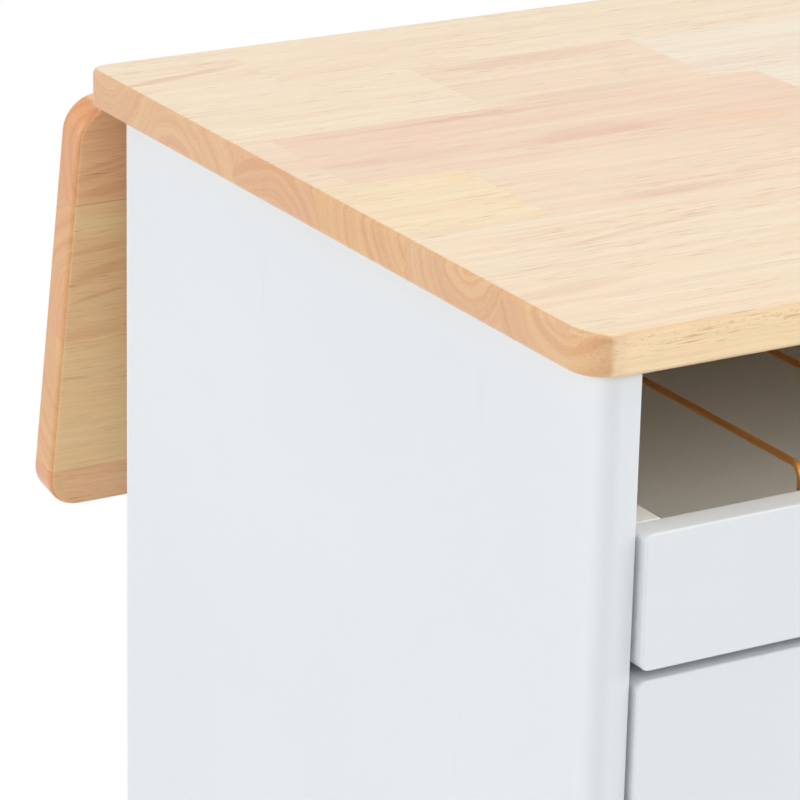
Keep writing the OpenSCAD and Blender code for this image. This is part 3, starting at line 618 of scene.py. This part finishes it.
def lacquer_material(name, colour, roughness):
    """Lacquer with a fine orange peel, and faint marks drawn down it by the brush."""
    material, nodes, shader, position = new_material(name)
    fine = use_group(nodes, "fine surface", Position=position.outputs["Object"], Scale=420.0)
    drift = nodes.ease(fine["Drift"], 0.3, 0.7, 0.985, 1.01)
    tint = nodes.shade((*colour, 1), drift)
    nodes.put(shader.inputs["Base Color"], nodes.tone(fine["Smudge"], tint, (0.955, 0.96, 0.965)))
    nodes.put(shader.inputs["Roughness"],
              nodes.ease(fine["Drift"], 0.3, 0.7, roughness - 0.03, roughness + 0.04))
    bump(nodes, shader, fine["Height"], 0.00004, 0.35)
    return material


def metal_material(name, colour, roughness, stretch, depth, metallic=1.0):
    """Metal with fine marks, drawn out along one axis by stretch."""
    material, nodes, shader, position = new_material(name)
    at = nodes.vector("MULTIPLY", position.outputs["Object"], stretch)
    fine = use_group(nodes, "fine surface", Position=at, Scale=300.0)
    drift = nodes.ease(fine["Height"], 0.25, 0.75, 1 - depth, 1.0)
    nodes.put(shader.inputs["Base Color"], nodes.shade((*colour, 1), drift))
    shader.inputs["Metallic"].default_value = metallic
    nodes.put(shader.inputs["Roughness"],
              nodes.ease(fine["Height"], 0.2, 0.8, roughness - 0.06, roughness + 0.08))
    bump(nodes, shader, fine["Height"], 0.00003, 0.4)
    return material


def plastic_material(name, colour, roughness):
    """Moulded plastic with a fine grain."""
    material, nodes, shader, position = new_material(name)
    fine = use_group(nodes, "fine surface", Position=position.outputs["Object"], Scale=900.0)
    drift = nodes.ease(fine["Height"], 0.3, 0.7, 0.93, 1.05)
    nodes.put(shader.inputs["Base Color"], nodes.shade((*colour, 1), drift))
    nodes.put(shader.inputs["Roughness"],
              nodes.ease(fine["Drift"], 0.3, 0.7, roughness - 0.05, roughness + 0.05))
    bump(nodes, shader, fine["Height"], 0.00006, 0.5)
    return material


def finish(name):
    """The new material for a slot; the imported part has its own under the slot's plain name."""
    return bpy.data.materials["island " + name]


def repaint(node_name, material):
    """Gives a CAD node that stays in view its material."""
    for material_slot in frame["nodes"][node_name].material_slots:
        material_slot.material = material


# ---- boards of glued staves ----

# Blocks of the worktop's staves from front to back, as far as the photograph shows them: for each
# block the distance from the left end to its right end, its tint, and the pith's place from the
# stave's middle and the board's underside, all in millimetres, then how far the pith leans.
WORKTOP_STAVES = [
    [(232, "cream", -9, 32, 0.01)],
    [(266, "cream", -10, 28, 0.02)],
    [(69, "yellow", -52, 34, 0.03), (380, "peach", 30, -16, 0.05)],
    [(17, "peach", 4, -32, 0.02), (270, "pink", -16, 2, 0.11), (520, "pale", 20, -30, 0.02)],
    [(128, "cream", 20, -25, 0.04), (247, "peach", -40, -22, 0.03), (560, "pale", 14, -34, 0.01)],
    [(66, "cream", 14, 33, 0.09), (388, "cream", -24, -18, 0.02)],
]
# The leaf's tints carry painted warm bounce light from the shade under it, so the same wood looks
# redder than the worktop.
LEAF_STAVES = [
    [(310, "russet", 6, -8, 0.12)],
    [(420, "tan", 30, -30, 0.03)],
    [(280, "honey", -34, -18, 0.04)],
    [(360, "russet", 30, 30, 0.02)],
]
# Tints of the blocks out of the picture, and the seed that draws them.
WORKTOP_TINTS = ("cream", "cream", "pale", "peach", "pink", "yellow")
WORKTOP_SEED = 3
LEAF_TINTS = ("tan", "russet", "honey", "tan")
LEAF_SEED = 8


def blocks_of(stave, width, tints, draw):
    """The stave's blocks, carried on at random to the board's other end."""
    shortest = 90
    blocks = list(stave)
    while blocks[-1][0] < width / MM - shortest:
        end = blocks[-1][0] + draw.uniform(190, 400)
        blocks.append((end, draw.choice(tints), draw.uniform(-45, 45), draw.uniform(-35, 40),
                       draw.uniform(-0.06, 0.06)))
    return blocks


def stave_board(settings, size, back, staves, cuts, tints, seed):
    """Rounded board cut into staves and blocks, each with its own tint and growth rings."""
    width, depth, thick = size
    draw = random.Random(seed)
    shape = rounded_board(width, depth, thick, settings.corner_radius, settings.edge_radius, back)
    edges_y = [-depth, *cuts, depth]
    for cut in cuts:
        bmesh.ops.bisect_plane(shape, geom=shape.verts[:] + shape.edges[:] + shape.faces[:],
                               plane_co=(0, cut, 0), plane_no=(0, 1, 0))
    place_layer = shape.verts.layers.float_vector.new("board_place")
    plan = []
    for index, stave in enumerate(staves):
        low, high = edges_y[index], edges_y[index + 1]
        blocks = blocks_of(stave, width, tints, draw)
        for block in blocks[:-1]:
            faces = [f for f in shape.faces if low < f.calc_center_median().y < high]
            geometry = list({g for f in faces for g in (*f.verts, *f.edges)}) + faces
            bmesh.ops.bisect_plane(shape, geom=geometry, plane_co=(block[0] * MM - width / 2, 0, 0),
                                   plane_no=(1, 0, 0))
        plan.append((low, high, blocks))
    tint_layer = shape.faces.layers.float_color.new("block_tint")
    pith_layer = shape.faces.layers.float_vector.new("block_pith")
    lean_layer = shape.faces.layers.float_vector.new("block_lean")
    for face in shape.faces:
        centre = face.calc_center_median()
        stave = sum(centre.y > cut for cut in cuts)
        low, high, blocks = plan[stave]
        from_left = (centre.x + width / 2) / MM
        number = next((i for i, b in enumerate(blocks) if from_left <= b[0]), len(blocks) - 1)
        end, tint, pith_y, pith_z, lean = blocks[number]
        start = blocks[number - 1][0] if number else 0
        face[tint_layer] = (*getattr(settings, tint), 1)
        middle = (max(low, -depth / 2) + min(high, depth / 2)) / 2
        face[pith_layer] = ((start + end) / 2 * MM - width / 2, middle + pith_y * MM, pith_z * MM)
        face[lean_layer] = (lean * 0.4, lean, (number * 7 + stave * 3 + seed) % 11)
    for vert in shape.verts:
        vert[place_layer] = vert.co
    return shape


# ---- operators ----

class ISLAND_OT_finishes(bpy.types.Operator):
    """Make the materials of the island's pieces"""
    bl_idname = "island.finishes"
    bl_label = "Finishes"

    def execute(self, context):
        colours = context.scene.island_finish
        low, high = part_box("countertop")
        half_size = (high - low) / 2
        half_leaf = Vector((half_size.x, LEAF_DEPTH / 2))
        make_fibre_group()
        make_mark_group()
        make_ring_group()
        make_speckle_group()
        wood_material("worktop_wood", 0.6, (0.885, 0.675, 0.50), WORKTOP_MARKS, half_size)
        # painted bounce light: the leaf's tints are redder to stand for the warm light in its shade
        wood_material("leaf_wood", 0.9, (0.815, 0.65, 0.50), LEAF_MARKS, half_leaf)
        lacquer_material("white_lacquer", colours.lacquer, 0.33)
        lacquer_material("inner_lacquer", colours.inner, 0.42)
        metal_material("brass", colours.brass, 0.33, (1, 0.1, 1), 0.12, 0.6)
        metal_material("zinc_steel", colours.zinc, 0.34, (1, 1, 1), 0.2)
        plastic_material("foot_plastic", colours.foot, 0.5)
        plastic_material("catch_plastic", colours.catch, 0.45)
        return {"FINISHED"}


def leaf_hinge():
    """The leaf's pivot, and the turn from level to hanging about it."""
    joint = next(j for j in frame["joints"] if j["name"] == "leaf_lift")
    turn = Matrix.Rotation(-math.radians(joint["range_deg"][1]), 4, "X")
    return Vector(joint["pos_m"]), turn


class ISLAND_OT_worktop(bpy.types.Operator):
    """Build the butcher-block worktop and its drop leaf"""
    bl_idname = "island.worktop"
    bl_label = "Worktop and leaf"

    # the outermost stave of each board is cut narrower than the others
    first_stave = 0.0645
    leaf_first_stave = 0.0488
    leaf_stave = 0.071

    def execute(self, context):
        wood = context.scene.island_wood
        low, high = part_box("countertop")
        size = high - low
        cuts = [-size.y / 2 + self.first_stave + i * wood.stave_width
                for i in range(len(WORKTOP_STAVES) - 1)]
        shape = stave_board(wood, size, wood.back_radius, WORKTOP_STAVES, cuts, WORKTOP_TINTS,
                            WORKTOP_SEED)
        place = Matrix.Translation(((low.x + high.x) / 2, (low.y + high.y) / 2, low.z))
        dress("worktop_board", shape, "cabinet", "worktop_wood", ["countertop"], place)

        pivot, hang = leaf_hinge()
        gap = pivot.y - high.y
        size.y = LEAF_DEPTH
        cuts = [-size.y / 2 + self.leaf_first_stave + i * self.leaf_stave
                for i in range(len(LEAF_STAVES) - 1)]
        shape = stave_board(wood, size, wood.corner_radius, LEAF_STAVES, cuts, LEAF_TINTS, LEAF_SEED)
        level = Matrix.Translation((0, gap + LEAF_DEPTH / 2, low.z - pivot.z))
        place = Matrix.Translation(pivot) @ hang @ level
        dress("leaf_board", shape, "leaf", "leaf_wood", ["drop_leaf"], place)
        return {"FINISHED"}


class ISLAND_OT_case(bpy.types.Operator):
    """Build the lacquered case: panels, rail, decks, shelves and runner strips"""
    bl_idname = "island.case"
    bl_label = "Case"

    stile_radius = 0.010
    strip_thick = 0.009

    def execute(self, context):
        edge = context.scene.island_finish.paint_edge
        for side, sign in zip(SIDES, (-1, 1)):
            self.side_panel(side, sign, edge)
        self.partition(edge)
        self.bottom(edge)
        for node, name in (("back_panel", "back_board"), ("back_rail", "rail_board")):
            dress(name, box_shape(*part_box(node), edge), "cabinet", "white_lacquer", [node])
        for side in SIDES:
            for node in (side + "_deck", side + "_shelf"):
                shape = box_shape(*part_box(node), edge)
                dress(node + "_board", shape, "cabinet", "inner_lacquer", [node])
            node = side + "_runners"
            low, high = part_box(node)
            strips = [box_shape(low, (low.x + self.strip_thick, high.y, high.z), edge),
                      box_shape((high.x - self.strip_thick, low.y, low.z), high, edge)]
            dress(side + "_runner_strips", join_shapes(strips), "cabinet", "inner_lacquer", [node])
        return {"FINISHED"}

    def side_panel(self, side, sign, edge):
        low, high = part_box(side + "_side_panel")
        outer = high.x if sign > 0 else -low.x
        inner = low.x if sign > 0 else -high.x
        radius = self.stile_radius
        stile = arc((outer - radius, low.y + radius), radius, -90, 0, 10)
        outline = [(inner, low.y), *stile, (outer, high.y), (inner, high.y)]
        shape = soften(prism([(sign * x, y) for x, y in outline], low.z, high.z), edge)
        dress(side + "_side_board", shape, "cabinet", "white_lacquer", [side + "_side_panel"])

    def partition(self, edge):
        low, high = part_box("centre_partition")
        notch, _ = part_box("back_rail")
        outline = [(low.y, low.z), (high.y, low.z), (high.y, notch.z), (notch.y, notch.z),
                   (notch.y, high.z), (low.y, high.z)]
        shape = soften(prism(outline, low.x, high.x, along_x=True), edge)
        dress("partition_board", shape, "cabinet", "white_lacquer", ["centre_partition"])

    def bottom(self, edge):
        low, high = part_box("bottom_panel")
        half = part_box("centre_partition")[1].x
        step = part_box("left_deck")[0].y
        outline = [(low.x, step), (-half, step), (-half, low.y), (half, low.y), (half, step),
                   (high.x, step), (high.x, high.y), (low.x, high.y)]
        shape = soften(prism(outline, low.z, high.z), edge)
        dress("bottom_board", shape, "cabinet", "white_lacquer", ["bottom_panel"])


def standing_front(node):
    """Drawer front or door: a rounded board upright in a node's box."""
    corner = 0.004
    edge = 0.001
    low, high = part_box(node)
    size = high - low
    shape = rounded_board(size.x, size.z, size.y, corner, edge, corner_steps=6, edge_steps=4)
    turn = Matrix.Rotation(math.radians(90), 4, "X")
    middle = Vector(((low.x + high.x) / 2, high.y, (low.z + high.z) / 2))
    bmesh.ops.transform(shape, matrix=Matrix.Translation(middle) @ turn, verts=shape.verts)
    return shape


class ISLAND_OT_drawers(bpy.types.Operator):
    """Build both drawers: front, grooved sides, back and bottom"""
    bl_idname = "island.drawers"
    bl_label = "Drawers"

    groove_from = 0.008
    groove_deep = 0.0045
    groove_clear = 0.0005
    seat = 0.003
    thin_edge = 0.7

    def execute(self, context):
        edge = context.scene.island_finish.paint_edge
        for side in SIDES:
            body = "drawer_" + side
            node = side + "_drawer_front"
            dress(side + "_front_board", standing_front(node), body, "white_lacquer", [node])
            dress(side + "_grooved_sides", self.sides(side, edge), body, "inner_lacquer",
                  [side + "_drawer_sides"])
            for node in (side + "_drawer_back", side + "_drawer_bottom"):
                shape = box_shape(*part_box(node), edge * self.thin_edge)
                dress(node + "_board", shape, body, "inner_lacquer", [node])
        return {"FINISHED"}

    def sides(self, side, edge):
        low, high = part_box(side + "_drawer_sides")
        run_low, run_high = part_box(side + "_runners")
        floor_low, floor_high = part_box(side + "_drawer_bottom")
        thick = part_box(side + "_drawer_back")[0].x - low.x
        groove_low = run_low.z - self.groove_clear
        groove_high = run_high.z + self.groove_clear
        shapes = []
        for sign in (-1, 1):
            outer = low.x if sign < 0 else high.x
            inner = outer - sign * thick
            pit = outer - sign * self.groove_deep
            seat = inner + sign * self.seat
            inside = [(inner, high.z), (inner, floor_high.z), (seat, floor_high.z),
                      (seat, floor_low.z), (inner, floor_low.z), (inner, low.z)]
            plain = [(outer, low.z), (outer, groove_low), (outer, groove_high), (outer, high.z)]
            grooved = [(outer, low.z), (outer, groove_low), (pit, groove_low),
                       (pit, groove_high), (outer, groove_high), (outer, high.z)]
            shapes.append(self.stepped(plain + inside, grooved + inside, low.y,
                                       low.y + self.groove_from, high.y, edge))
        return join_shapes(shapes)

    def stepped(self, plain, grooved, start, step, end, edge):
        """Bar with one section up to the step and a grooved one after it."""
        shape = bmesh.new()
        first = [shape.verts.new((x, start, z)) for x, z in plain]
        middle = [shape.verts.new((x, step, z)) for x, z in grooved]
        last = [shape.verts.new((x, end, z)) for x, z in grooved]
        kept = [middle[i] for i in (0, 1, *range(4, len(middle)))]
        for i in range(len(first)):
            j = (i + 1) % len(first)
            shape.faces.new((first[i], first[j], kept[j], kept[i]))
        for i in range(len(middle)):
            j = (i + 1) % len(middle)
            shape.faces.new((middle[i], middle[j], last[j], last[i]))
        shape.faces.new(middle[1:5])
        shape.faces.new(first)
        shape.faces.new(last)
        bmesh.ops.recalc_face_normals(shape, faces=shape.faces)
        return soften(shape, edge, 2)


class ISLAND_OT_racks(bpy.types.Operator):
    """Build the drawers' brass wire racks"""
    bl_idname = "island.racks"
    bl_label = "Wire racks"

    loops = 6
    wire = 0.003
    cross = 0.004
    bend = 0.006
    # the weld on the cross wire: height above its middle, and how much thicker the wire is there
    weld = ((0, 1.75), (0.0018, 1.65), (0.0028, 1.15), (0.005, 1.0))
    # the rounded end of a cross wire, in shares of its radius: distance from the tip, and thickness
    tip = ((0.0, 0.35), (0.12, 0.72), (0.4, 0.93), (1.0, 1.0))

    def execute(self, context):
        for side in SIDES:
            low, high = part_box(side + "_drawer_rack")
            inner_low, inner_high = (corner.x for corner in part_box(side + "_drawer_back"))
            pitch = (inner_high - inner_low) / (self.loops + 1)
            cross_z = low.z + self.cross / 2
            top = high.z - self.wire / 2
            y1 = low.y + self.cross / 2
            y2 = high.y - self.cross / 2
            shapes = [self.loop(inner_low + i * pitch, y1, y2, cross_z, top)
                      for i in range(1, self.loops + 1)]
            for y in (y1, y2):
                shapes.append(self.cross_wire(low.x, high.x, y, cross_z))
            dress(side + "_wire_rack", join_shapes(shapes), "drawer_" + side, "brass",
                  [side + "_drawer_rack"])
        return {"FINISHED"}

    def loop(self, x, y1, y2, low, top):
        r = self.bend
        steps = 8
        front = [(y1, low + height) for height, _ in self.weld]
        back = [(y2, z) for _, z in reversed(front)]
        middle = [(y1 + (y2 - y1) * t / steps, top) for t in range(1, steps)]
        path = [*front, *arc((y1 + r, top - r), r, 180, 90, 10), *middle,
                *arc((y2 - r, top - r), r, 90, 0, 10), *back]
        weld = [swell for _, swell in self.weld]
        swell = weld + [1.0] * (len(path) - 2 * len(weld)) + weld[::-1]
        return tube([(x, y, z) for y, z in path], [self.wire / 2 * share for share in swell])

    def cross_wire(self, start, end, y, z):
        r = self.cross / 2
        path = [(start + r * step, y, z) for step, _ in self.tip]
        path += [(end - r * step, y, z) for step, _ in reversed(self.tip)]
        radii = [r * size for _, size in (*self.tip, *reversed(self.tip))]
        return tube(path, radii)


class ISLAND_OT_doors(bpy.types.Operator):
    """Build both doors with their knobs"""
    bl_idname = "island.doors"
    bl_label = "Doors"

    def execute(self, context):
        for side in SIDES:
            body = "door_" + side
            node = side + "_door"
            dress(side + "_door_board", standing_front(node), body, "white_lacquer", [node])
            low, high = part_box(side + "_door_knob")
            centre = ((low.x + high.x) / 2, high.y, (low.z + high.z) / 2)
            shape = turned(self.knob_profile((high.x - low.x) / 2, high.y - low.y), centre,
                           ((1, 0, 0), (0, 0, 1), (0, -1, 0)), 48)
            dress(side + "_turned_knob", shape, body, "brass", [side + "_door_knob"])
        return {"FINISHED"}

    def knob_profile(self, radius, length):
        """Collar on the door, waist and domed head, as (radius, distance from the door)."""
        collar = radius * 0.66
        neck = radius * 0.42
        head = length * 0.36
        foot = [(0, 0), (collar - 0.0004, 0), (collar, 0.0004), (collar, 0.0012),
                (collar - 0.0005, 0.0016), (neck + 0.001, 0.0028), (neck, 0.0045)]
        waist = [(neck, length - head * 2.1), (neck + 0.0008, length - head * 1.8),
                 (radius - 0.0035, length - head * 1.12), (radius - 0.0006, length - head)]
        dome = [(radius * math.cos(a), length - head + head * math.sin(a))
                for a in map(math.radians, range(8, 89, 8))]
        return foot + waist + dome + [(0, length)]


class ISLAND_OT_feet(bpy.types.Operator):
    """Build the six turned feet"""
    bl_idname = "island.feet"
    bl_label = "Feet"

    flange = 0.031
    flange_thick = 0.003
    top = 0.023
    pad = 0.019

    def execute(self, context):
        low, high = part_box("feet")
        xs = (low.x + self.flange, 0.0, high.x - self.flange)
        ys = (low.y + self.flange, high.y - self.flange)
        axes = ((1, 0, 0), (0, 1, 0), (0, 0, 1))
        shapes = [turned(self.profile(high.z), (x, y, 0), axes, 40) for x in xs for y in ys]
        dress("turned_feet", join_shapes(shapes), "cabinet", "foot_plastic", ["feet"])
        return {"FINISHED"}

    def profile(self, height):
        """Pad with a groove round it, tapered foot and screwed flange, as (radius, height)."""
        pad = self.pad
        flange = self.flange
        under = height - self.flange_thick
        return [(0, 0), (pad - 0.002, 0), (pad - 0.0006, 0.0006), (pad, 0.002),
                (pad + 0.0005, 0.006), (pad - 0.0006, 0.0068), (pad - 0.0006, 0.0078),
                (pad + 0.0007, 0.0088), (self.top, under - 0.001), (self.top + 0.0012, under),
                (flange - 0.0006, under), (flange, under + 0.0006), (flange, height - 0.0005),
                (flange - 0.0005, height), (0, height)]


class ISLAND_OT_hardware(bpy.types.Operator):
    """Finish hinges, stays, brackets, pins and catches"""
    bl_idname = "island.hardware"
    bl_label = "Hardware"

    def execute(self, context):
        names = ["shelf_pins", "top_brackets", "top_hinges", "leaf_hinge_pins", "leaf_hinges"]
        for side in SIDES:
            names += [f"{side}_{part}" for part in (
                "door_jamb_hinges", "door_hinge_pins", "door_hinges", "door_strike",
                "stay_bracket", "stay_pin", "stay", "leaf_track")]
            repaint(side + "_door_catch", finish("catch_plastic"))
        for name in names:
            repaint(name, finish("zinc_steel"))
        return {"FINISHED"}


class ISLAND_OT_screws(bpy.types.Operator):
    """Fill the screw holes of hinges, tracks and brackets"""
    bl_idname = "island.screws"
    bl_label = "Screws"

    small = 0.0019
    large = 0.00215
    # hinges: length, holes as shares of it, knuckle's radius, its clearance, and plates' thickness
    hinge_long = 0.064
    hinge_holes = (0.2, 0.5, 0.8)
    knuckle = 0.0035
    plate_clear = 0.0007
    door_plate = 0.0008
    door_gap = 0.002
    leaf_plate = 0.0015
    leaf_hinges = (-0.440, 0.0, 0.440)
    # tracks and stay brackets: sheet, holes from the pivot, holes each way from the stay's pin
    sheet = 0.0015
    track_holes = (0.086, 0.140042, 0.194084)
    stay_holes = (0.015, 0.020)
    # angle brackets: thickness, leg, width, and the hole as a share of the leg
    bracket = 0.002
    bracket_leg = 0.022
    bracket_wide = 0.018
    bracket_hole = 0.6

    def execute(self, context):
        pivot, turn = leaf_hinge()
        hang = Matrix.Translation(pivot) @ turn @ Matrix.Translation(-pivot)
        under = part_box("countertop")[0].z
        for side, sign in zip(SIDES, (-1, 1)):
            self.piece(side + "_jamb_screws", "cabinet", self.door_plates(side, sign, 1))
            self.piece(side + "_door_screws", "door_" + side, self.door_plates(side, sign, -1))
            self.piece(side + "_stay_screws", "cabinet", self.stay_bracket(side))
            low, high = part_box(side + "_leaf_track")
            heads = [self.hanging(((low.x + high.x) / 2, pivot.y + y), under, self.sheet)
                     for y in self.track_holes]
            self.piece(side + "_track_screws", "leaf", heads, hang)
        self.piece("bracket_screws", "cabinet", self.top_brackets(under))
        reach = self.plate_hole(pivot.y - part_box("top_hinges")[0].y)
        for name, body, sign, place in (("worktop_hinge_screws", "cabinet", -1, None),
                                        ("leaf_hinge_screws", "leaf", 1, hang)):
            heads = [self.hanging((x + (share - 0.5) * self.hinge_long, pivot.y + sign * reach),
                                  under, self.leaf_plate)
                     for x in self.leaf_hinges for share in self.hinge_holes]
            self.piece(name, body, heads, place)
        return {"FINISHED"}

    def piece(self, name, body, heads, place=None):
        dress(name, join_shapes(heads), body, "zinc_steel", place=place)

    def hanging(self, where, under, plate):
        """Head in a plate under the worktop or the level leaf."""
        return screw_head((*where, under - plate), (0, 0, -1), self.small, plate)

    def plate_hole(self, reach):
        """The middle of a hinge plate between its knuckle and its far edge."""
        return (self.knuckle + self.plate_clear + reach) / 2

    def door_plates(self, side, sign, inward):
        """Heads in the plates beside a door: inward is 1 on the side panel, -1 on the door."""
        low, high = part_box(side + "_door_jamb_hinges")
        pin_x = (low.x + high.x) / 2
        pin_y = low.y + self.knuckle
        x = pin_x + sign * inward * (self.door_gap / 2 - self.door_plate)
        y = pin_y + self.plate_hole(high.y - pin_y)
        return [screw_head((x, y, foot + share * self.hinge_long), (-sign * inward, 0, 0),
                           self.small, self.door_plate)
                for foot in (low.z, high.z - self.hinge_long) for share in self.hinge_holes]

    def stay_bracket(self, side):
        low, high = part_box(side + "_stay_bracket")
        pin_low, pin_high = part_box(side + "_stay_pin")
        x = (low.x + high.x) / 2
        z = (pin_low.z + pin_high.z) / 2
        across, along = self.stay_holes
        return [screw_head((x + u * across, low.y + self.sheet, z + v * along), (0, 1, 0),
                           self.large, self.sheet) for u in (-1, 1) for v in (-1, 1)]

    def top_brackets(self, under):
        low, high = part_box("top_brackets")
        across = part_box("centre_partition")[1].x
        hole = self.bracket_leg * self.bracket_hole
        heads = []
        for y in (low.y + self.bracket_wide / 2, high.y - self.bracket_wide / 2):
            for wall, inward in ((low.x, 1), (-across, -1), (across, 1), (high.x, -1)):
                for place, outward in (
                        ((wall + inward * hole, y, under - self.bracket), (0, 0, -1)),
                        ((wall + inward * self.bracket, y, under - hole), (inward, 0, 0))):
                    heads.append(screw_head(place, outward, self.large, self.bracket))
        return heads


class ISLAND_OT_stage(bpy.types.Operator):
    """Set the floor, the white surroundings, the lamps and the camera"""
    bl_idname = "island.stage"
    bl_label = "Stage"

    # how far each lamp stands round to the left of straight ahead, and how high, in degrees
    lamps = {"left": (85, 15), "behind": (111, 15), "near": (32, 35), "right": (-60, 22),
             "overhead": (0, 80)}
    lamp_target = Vector((0, 0, 0.65))
    lamp_distance = 6.0
    lamp_size = 3.6
    floor_radius = 9.0
    # the floor's own surface gives way to plain white between these distances from the middle
    floor_fade = (0.75, 1.2)
    # the surroundings darken between these cosines of the angle from straight behind the camera
    shade_from = (0.2, 0.9)
    sensor_width = 36
    sight = 60
    camera_place = (-1.353662, -1.440857, 1.402927)
    camera_azimuth = 30.77096
    camera_down = 19.99093
    camera_roll = 1.284517

    def execute(self, context):
        stage = context.scene.island_stage
        context.scene.view_settings.view_transform = "Standard"
        self.surroundings(context, stage)
        self.floor(stage)
        for name, (around, height) in self.lamps.items():
            self.lamp(name + "_lamp", math.radians(around), math.radians(height),
                      getattr(stage, name))
        self.camera(context, stage)
        return {"FINISHED"}

    def white_rays(self, nodes):
        """1 for rays that see the surroundings themselves, 0 for the light they give."""
        path = nodes.add("ShaderNodeLightPath").outputs
        seen = nodes.math("MAXIMUM", path["Is Camera Ray"], path["Is Glossy Ray"])
        return nodes.math("MAXIMUM", seen, path["Is Transmission Ray"])

    def surroundings(self, context, stage):
        world = bpy.data.worlds.new("white surroundings")
        context.scene.world = world
        world.use_nodes = True
        nodes = Nodes(world.node_tree)
        background = world.node_tree.nodes["Background"]
        background.inputs["Color"].default_value = (1, 1, 1, 1)
        direction = nodes.add("ShaderNodeTexCoord").outputs["Generated"]
        behind = nodes.vector("DOT_PRODUCT", direction, -self.camera_ahead())
        shade = nodes.ease(behind, *self.shade_from, 1.0, 1.0 - stage.shade)
        white = self.white_rays(nodes)
        level = nodes.math("MULTIPLY_ADD", white, 1.0 - stage.ambient, stage.ambient)
        camera = nodes.add("ShaderNodeLightPath").outputs["Is Camera Ray"]
        strength = nodes.math("MAXIMUM", nodes.math("MULTIPLY", level, shade), camera)
        nodes.put(background.inputs["Strength"], strength)

    def floor(self, stage):
        shape = bmesh.new()
        bmesh.ops.create_circle(shape, cap_ends=True, segments=96, radius=self.floor_radius)
        mesh = bpy.data.meshes.new("studio_floor")
        shape.to_mesh(mesh)
        shape.free()
        floor = link("studio_floor", mesh)
        material = bpy.data.materials.new("studio_floor")
        material.use_nodes = True
        nodes = Nodes(material.node_tree)
        shader = material.node_tree.nodes["Principled BSDF"]
        shader.inputs["Base Color"].default_value = (*stage.floor, 1)
        shader.inputs["Roughness"].default_value = 0.9
        shader.inputs["Specular IOR Level"].default_value = 0.1
        glow = nodes.add("ShaderNodeEmission")
        blend = nodes.add("ShaderNodeMixShader")
        away = nodes.vector("LENGTH", nodes.add("ShaderNodeTexCoord").outputs["Object"])
        far = nodes.ease(away, *self.floor_fade)
        nodes.put(blend.inputs["Fac"], nodes.math("MULTIPLY", far, self.white_rays(nodes)))
        nodes.put(blend.inputs[1], shader.outputs[0])
        nodes.put(blend.inputs[2], glow.outputs[0])
        surface = material.node_tree.nodes["Material Output"]
        nodes.put(surface.inputs["Surface"], blend.outputs[0])
        mesh.materials.append(material)

    def lamp(self, name, around, height, power):
        data = bpy.data.lights.new(name, "AREA")
        data.shape = "DISK"
        data.size = self.lamp_size
        data.energy = power
        lamp = link(name, data)
        away = Vector((-math.sin(around) * math.cos(height), -math.cos(around) * math.cos(height),
                       math.sin(height)))
        place = Matrix.Translation(self.lamp_target + away * self.lamp_distance)
        lamp.matrix_world = place @ away.to_track_quat("Z", "Y").to_matrix().to_4x4()

    def camera_ahead(self):
        azimuth = math.radians(self.camera_azimuth)
        down = math.radians(self.camera_down)
        return Vector((math.sin(azimuth) * math.cos(down), math.cos(azimuth) * math.cos(down),
                       -math.sin(down)))

    def camera(self, context, stage):
        azimuth = math.radians(self.camera_azimuth)
        roll = math.radians(self.camera_roll)
        ahead = self.camera_ahead()
        right = Vector((math.cos(azimuth), -math.sin(azimuth), 0))
        up = right.cross(ahead)
        right, up = (math.cos(roll) * right + math.sin(roll) * up,
                     math.cos(roll) * up - math.sin(roll) * right)
        data = bpy.data.cameras.new("photo_camera")
        data.lens = stage.lens
        data.sensor_width = self.sensor_width
        data.clip_end = self.sight
        camera = link("photo_camera", data)
        turn = Matrix((right, up, -ahead)).transposed().to_4x4()
        camera.matrix_world = Matrix.Translation(self.camera_place) @ turn
        context.scene.camera = camera


class ISLAND_PT_panel(bpy.types.Panel):
    """Lists the steps that build the island"""
    bl_idname = "ISLAND_PT_panel"
    bl_label = "Kitchen island"
    bl_space_type = "VIEW_3D"
    bl_region_type = "UI"
    bl_category = "Island"

    def draw(self, context):
        for step in STEPS:
            self.layout.operator(step.bl_idname)
        for settings in (context.scene.island_wood, context.scene.island_finish,
                         context.scene.island_stage):
            for name in settings.bl_rna.properties.keys():
                if name not in ("rna_type", "name"):
                    self.layout.prop(settings, name)


STEPS = (ISLAND_OT_finishes, ISLAND_OT_worktop, ISLAND_OT_case, ISLAND_OT_drawers,
         ISLAND_OT_racks, ISLAND_OT_doors, ISLAND_OT_feet, ISLAND_OT_hardware, ISLAND_OT_screws,
         ISLAND_OT_stage)
SETTINGS = {"island_wood": IslandWoodSettings, "island_finish": IslandFinishSettings,
            "island_stage": IslandStageSettings}
CLASSES = (*SETTINGS.values(), *STEPS, ISLAND_PT_panel)


def register():
    for cls in CLASSES:
        bpy.utils.register_class(cls)
    for name, cls in SETTINGS.items():
        setattr(bpy.types.Scene, name, bpy.props.PointerProperty(type=cls))


def unregister():
    for name in SETTINGS:
        delattr(bpy.types.Scene, name)
    for cls in reversed(CLASSES):
        bpy.utils.unregister_class(cls)


def main():
    register()
    for step in STEPS:
        category, name = step.bl_idname.split(".")
        getattr(getattr(bpy.ops, category), name)()


if __name__ == "__main__":
    main()
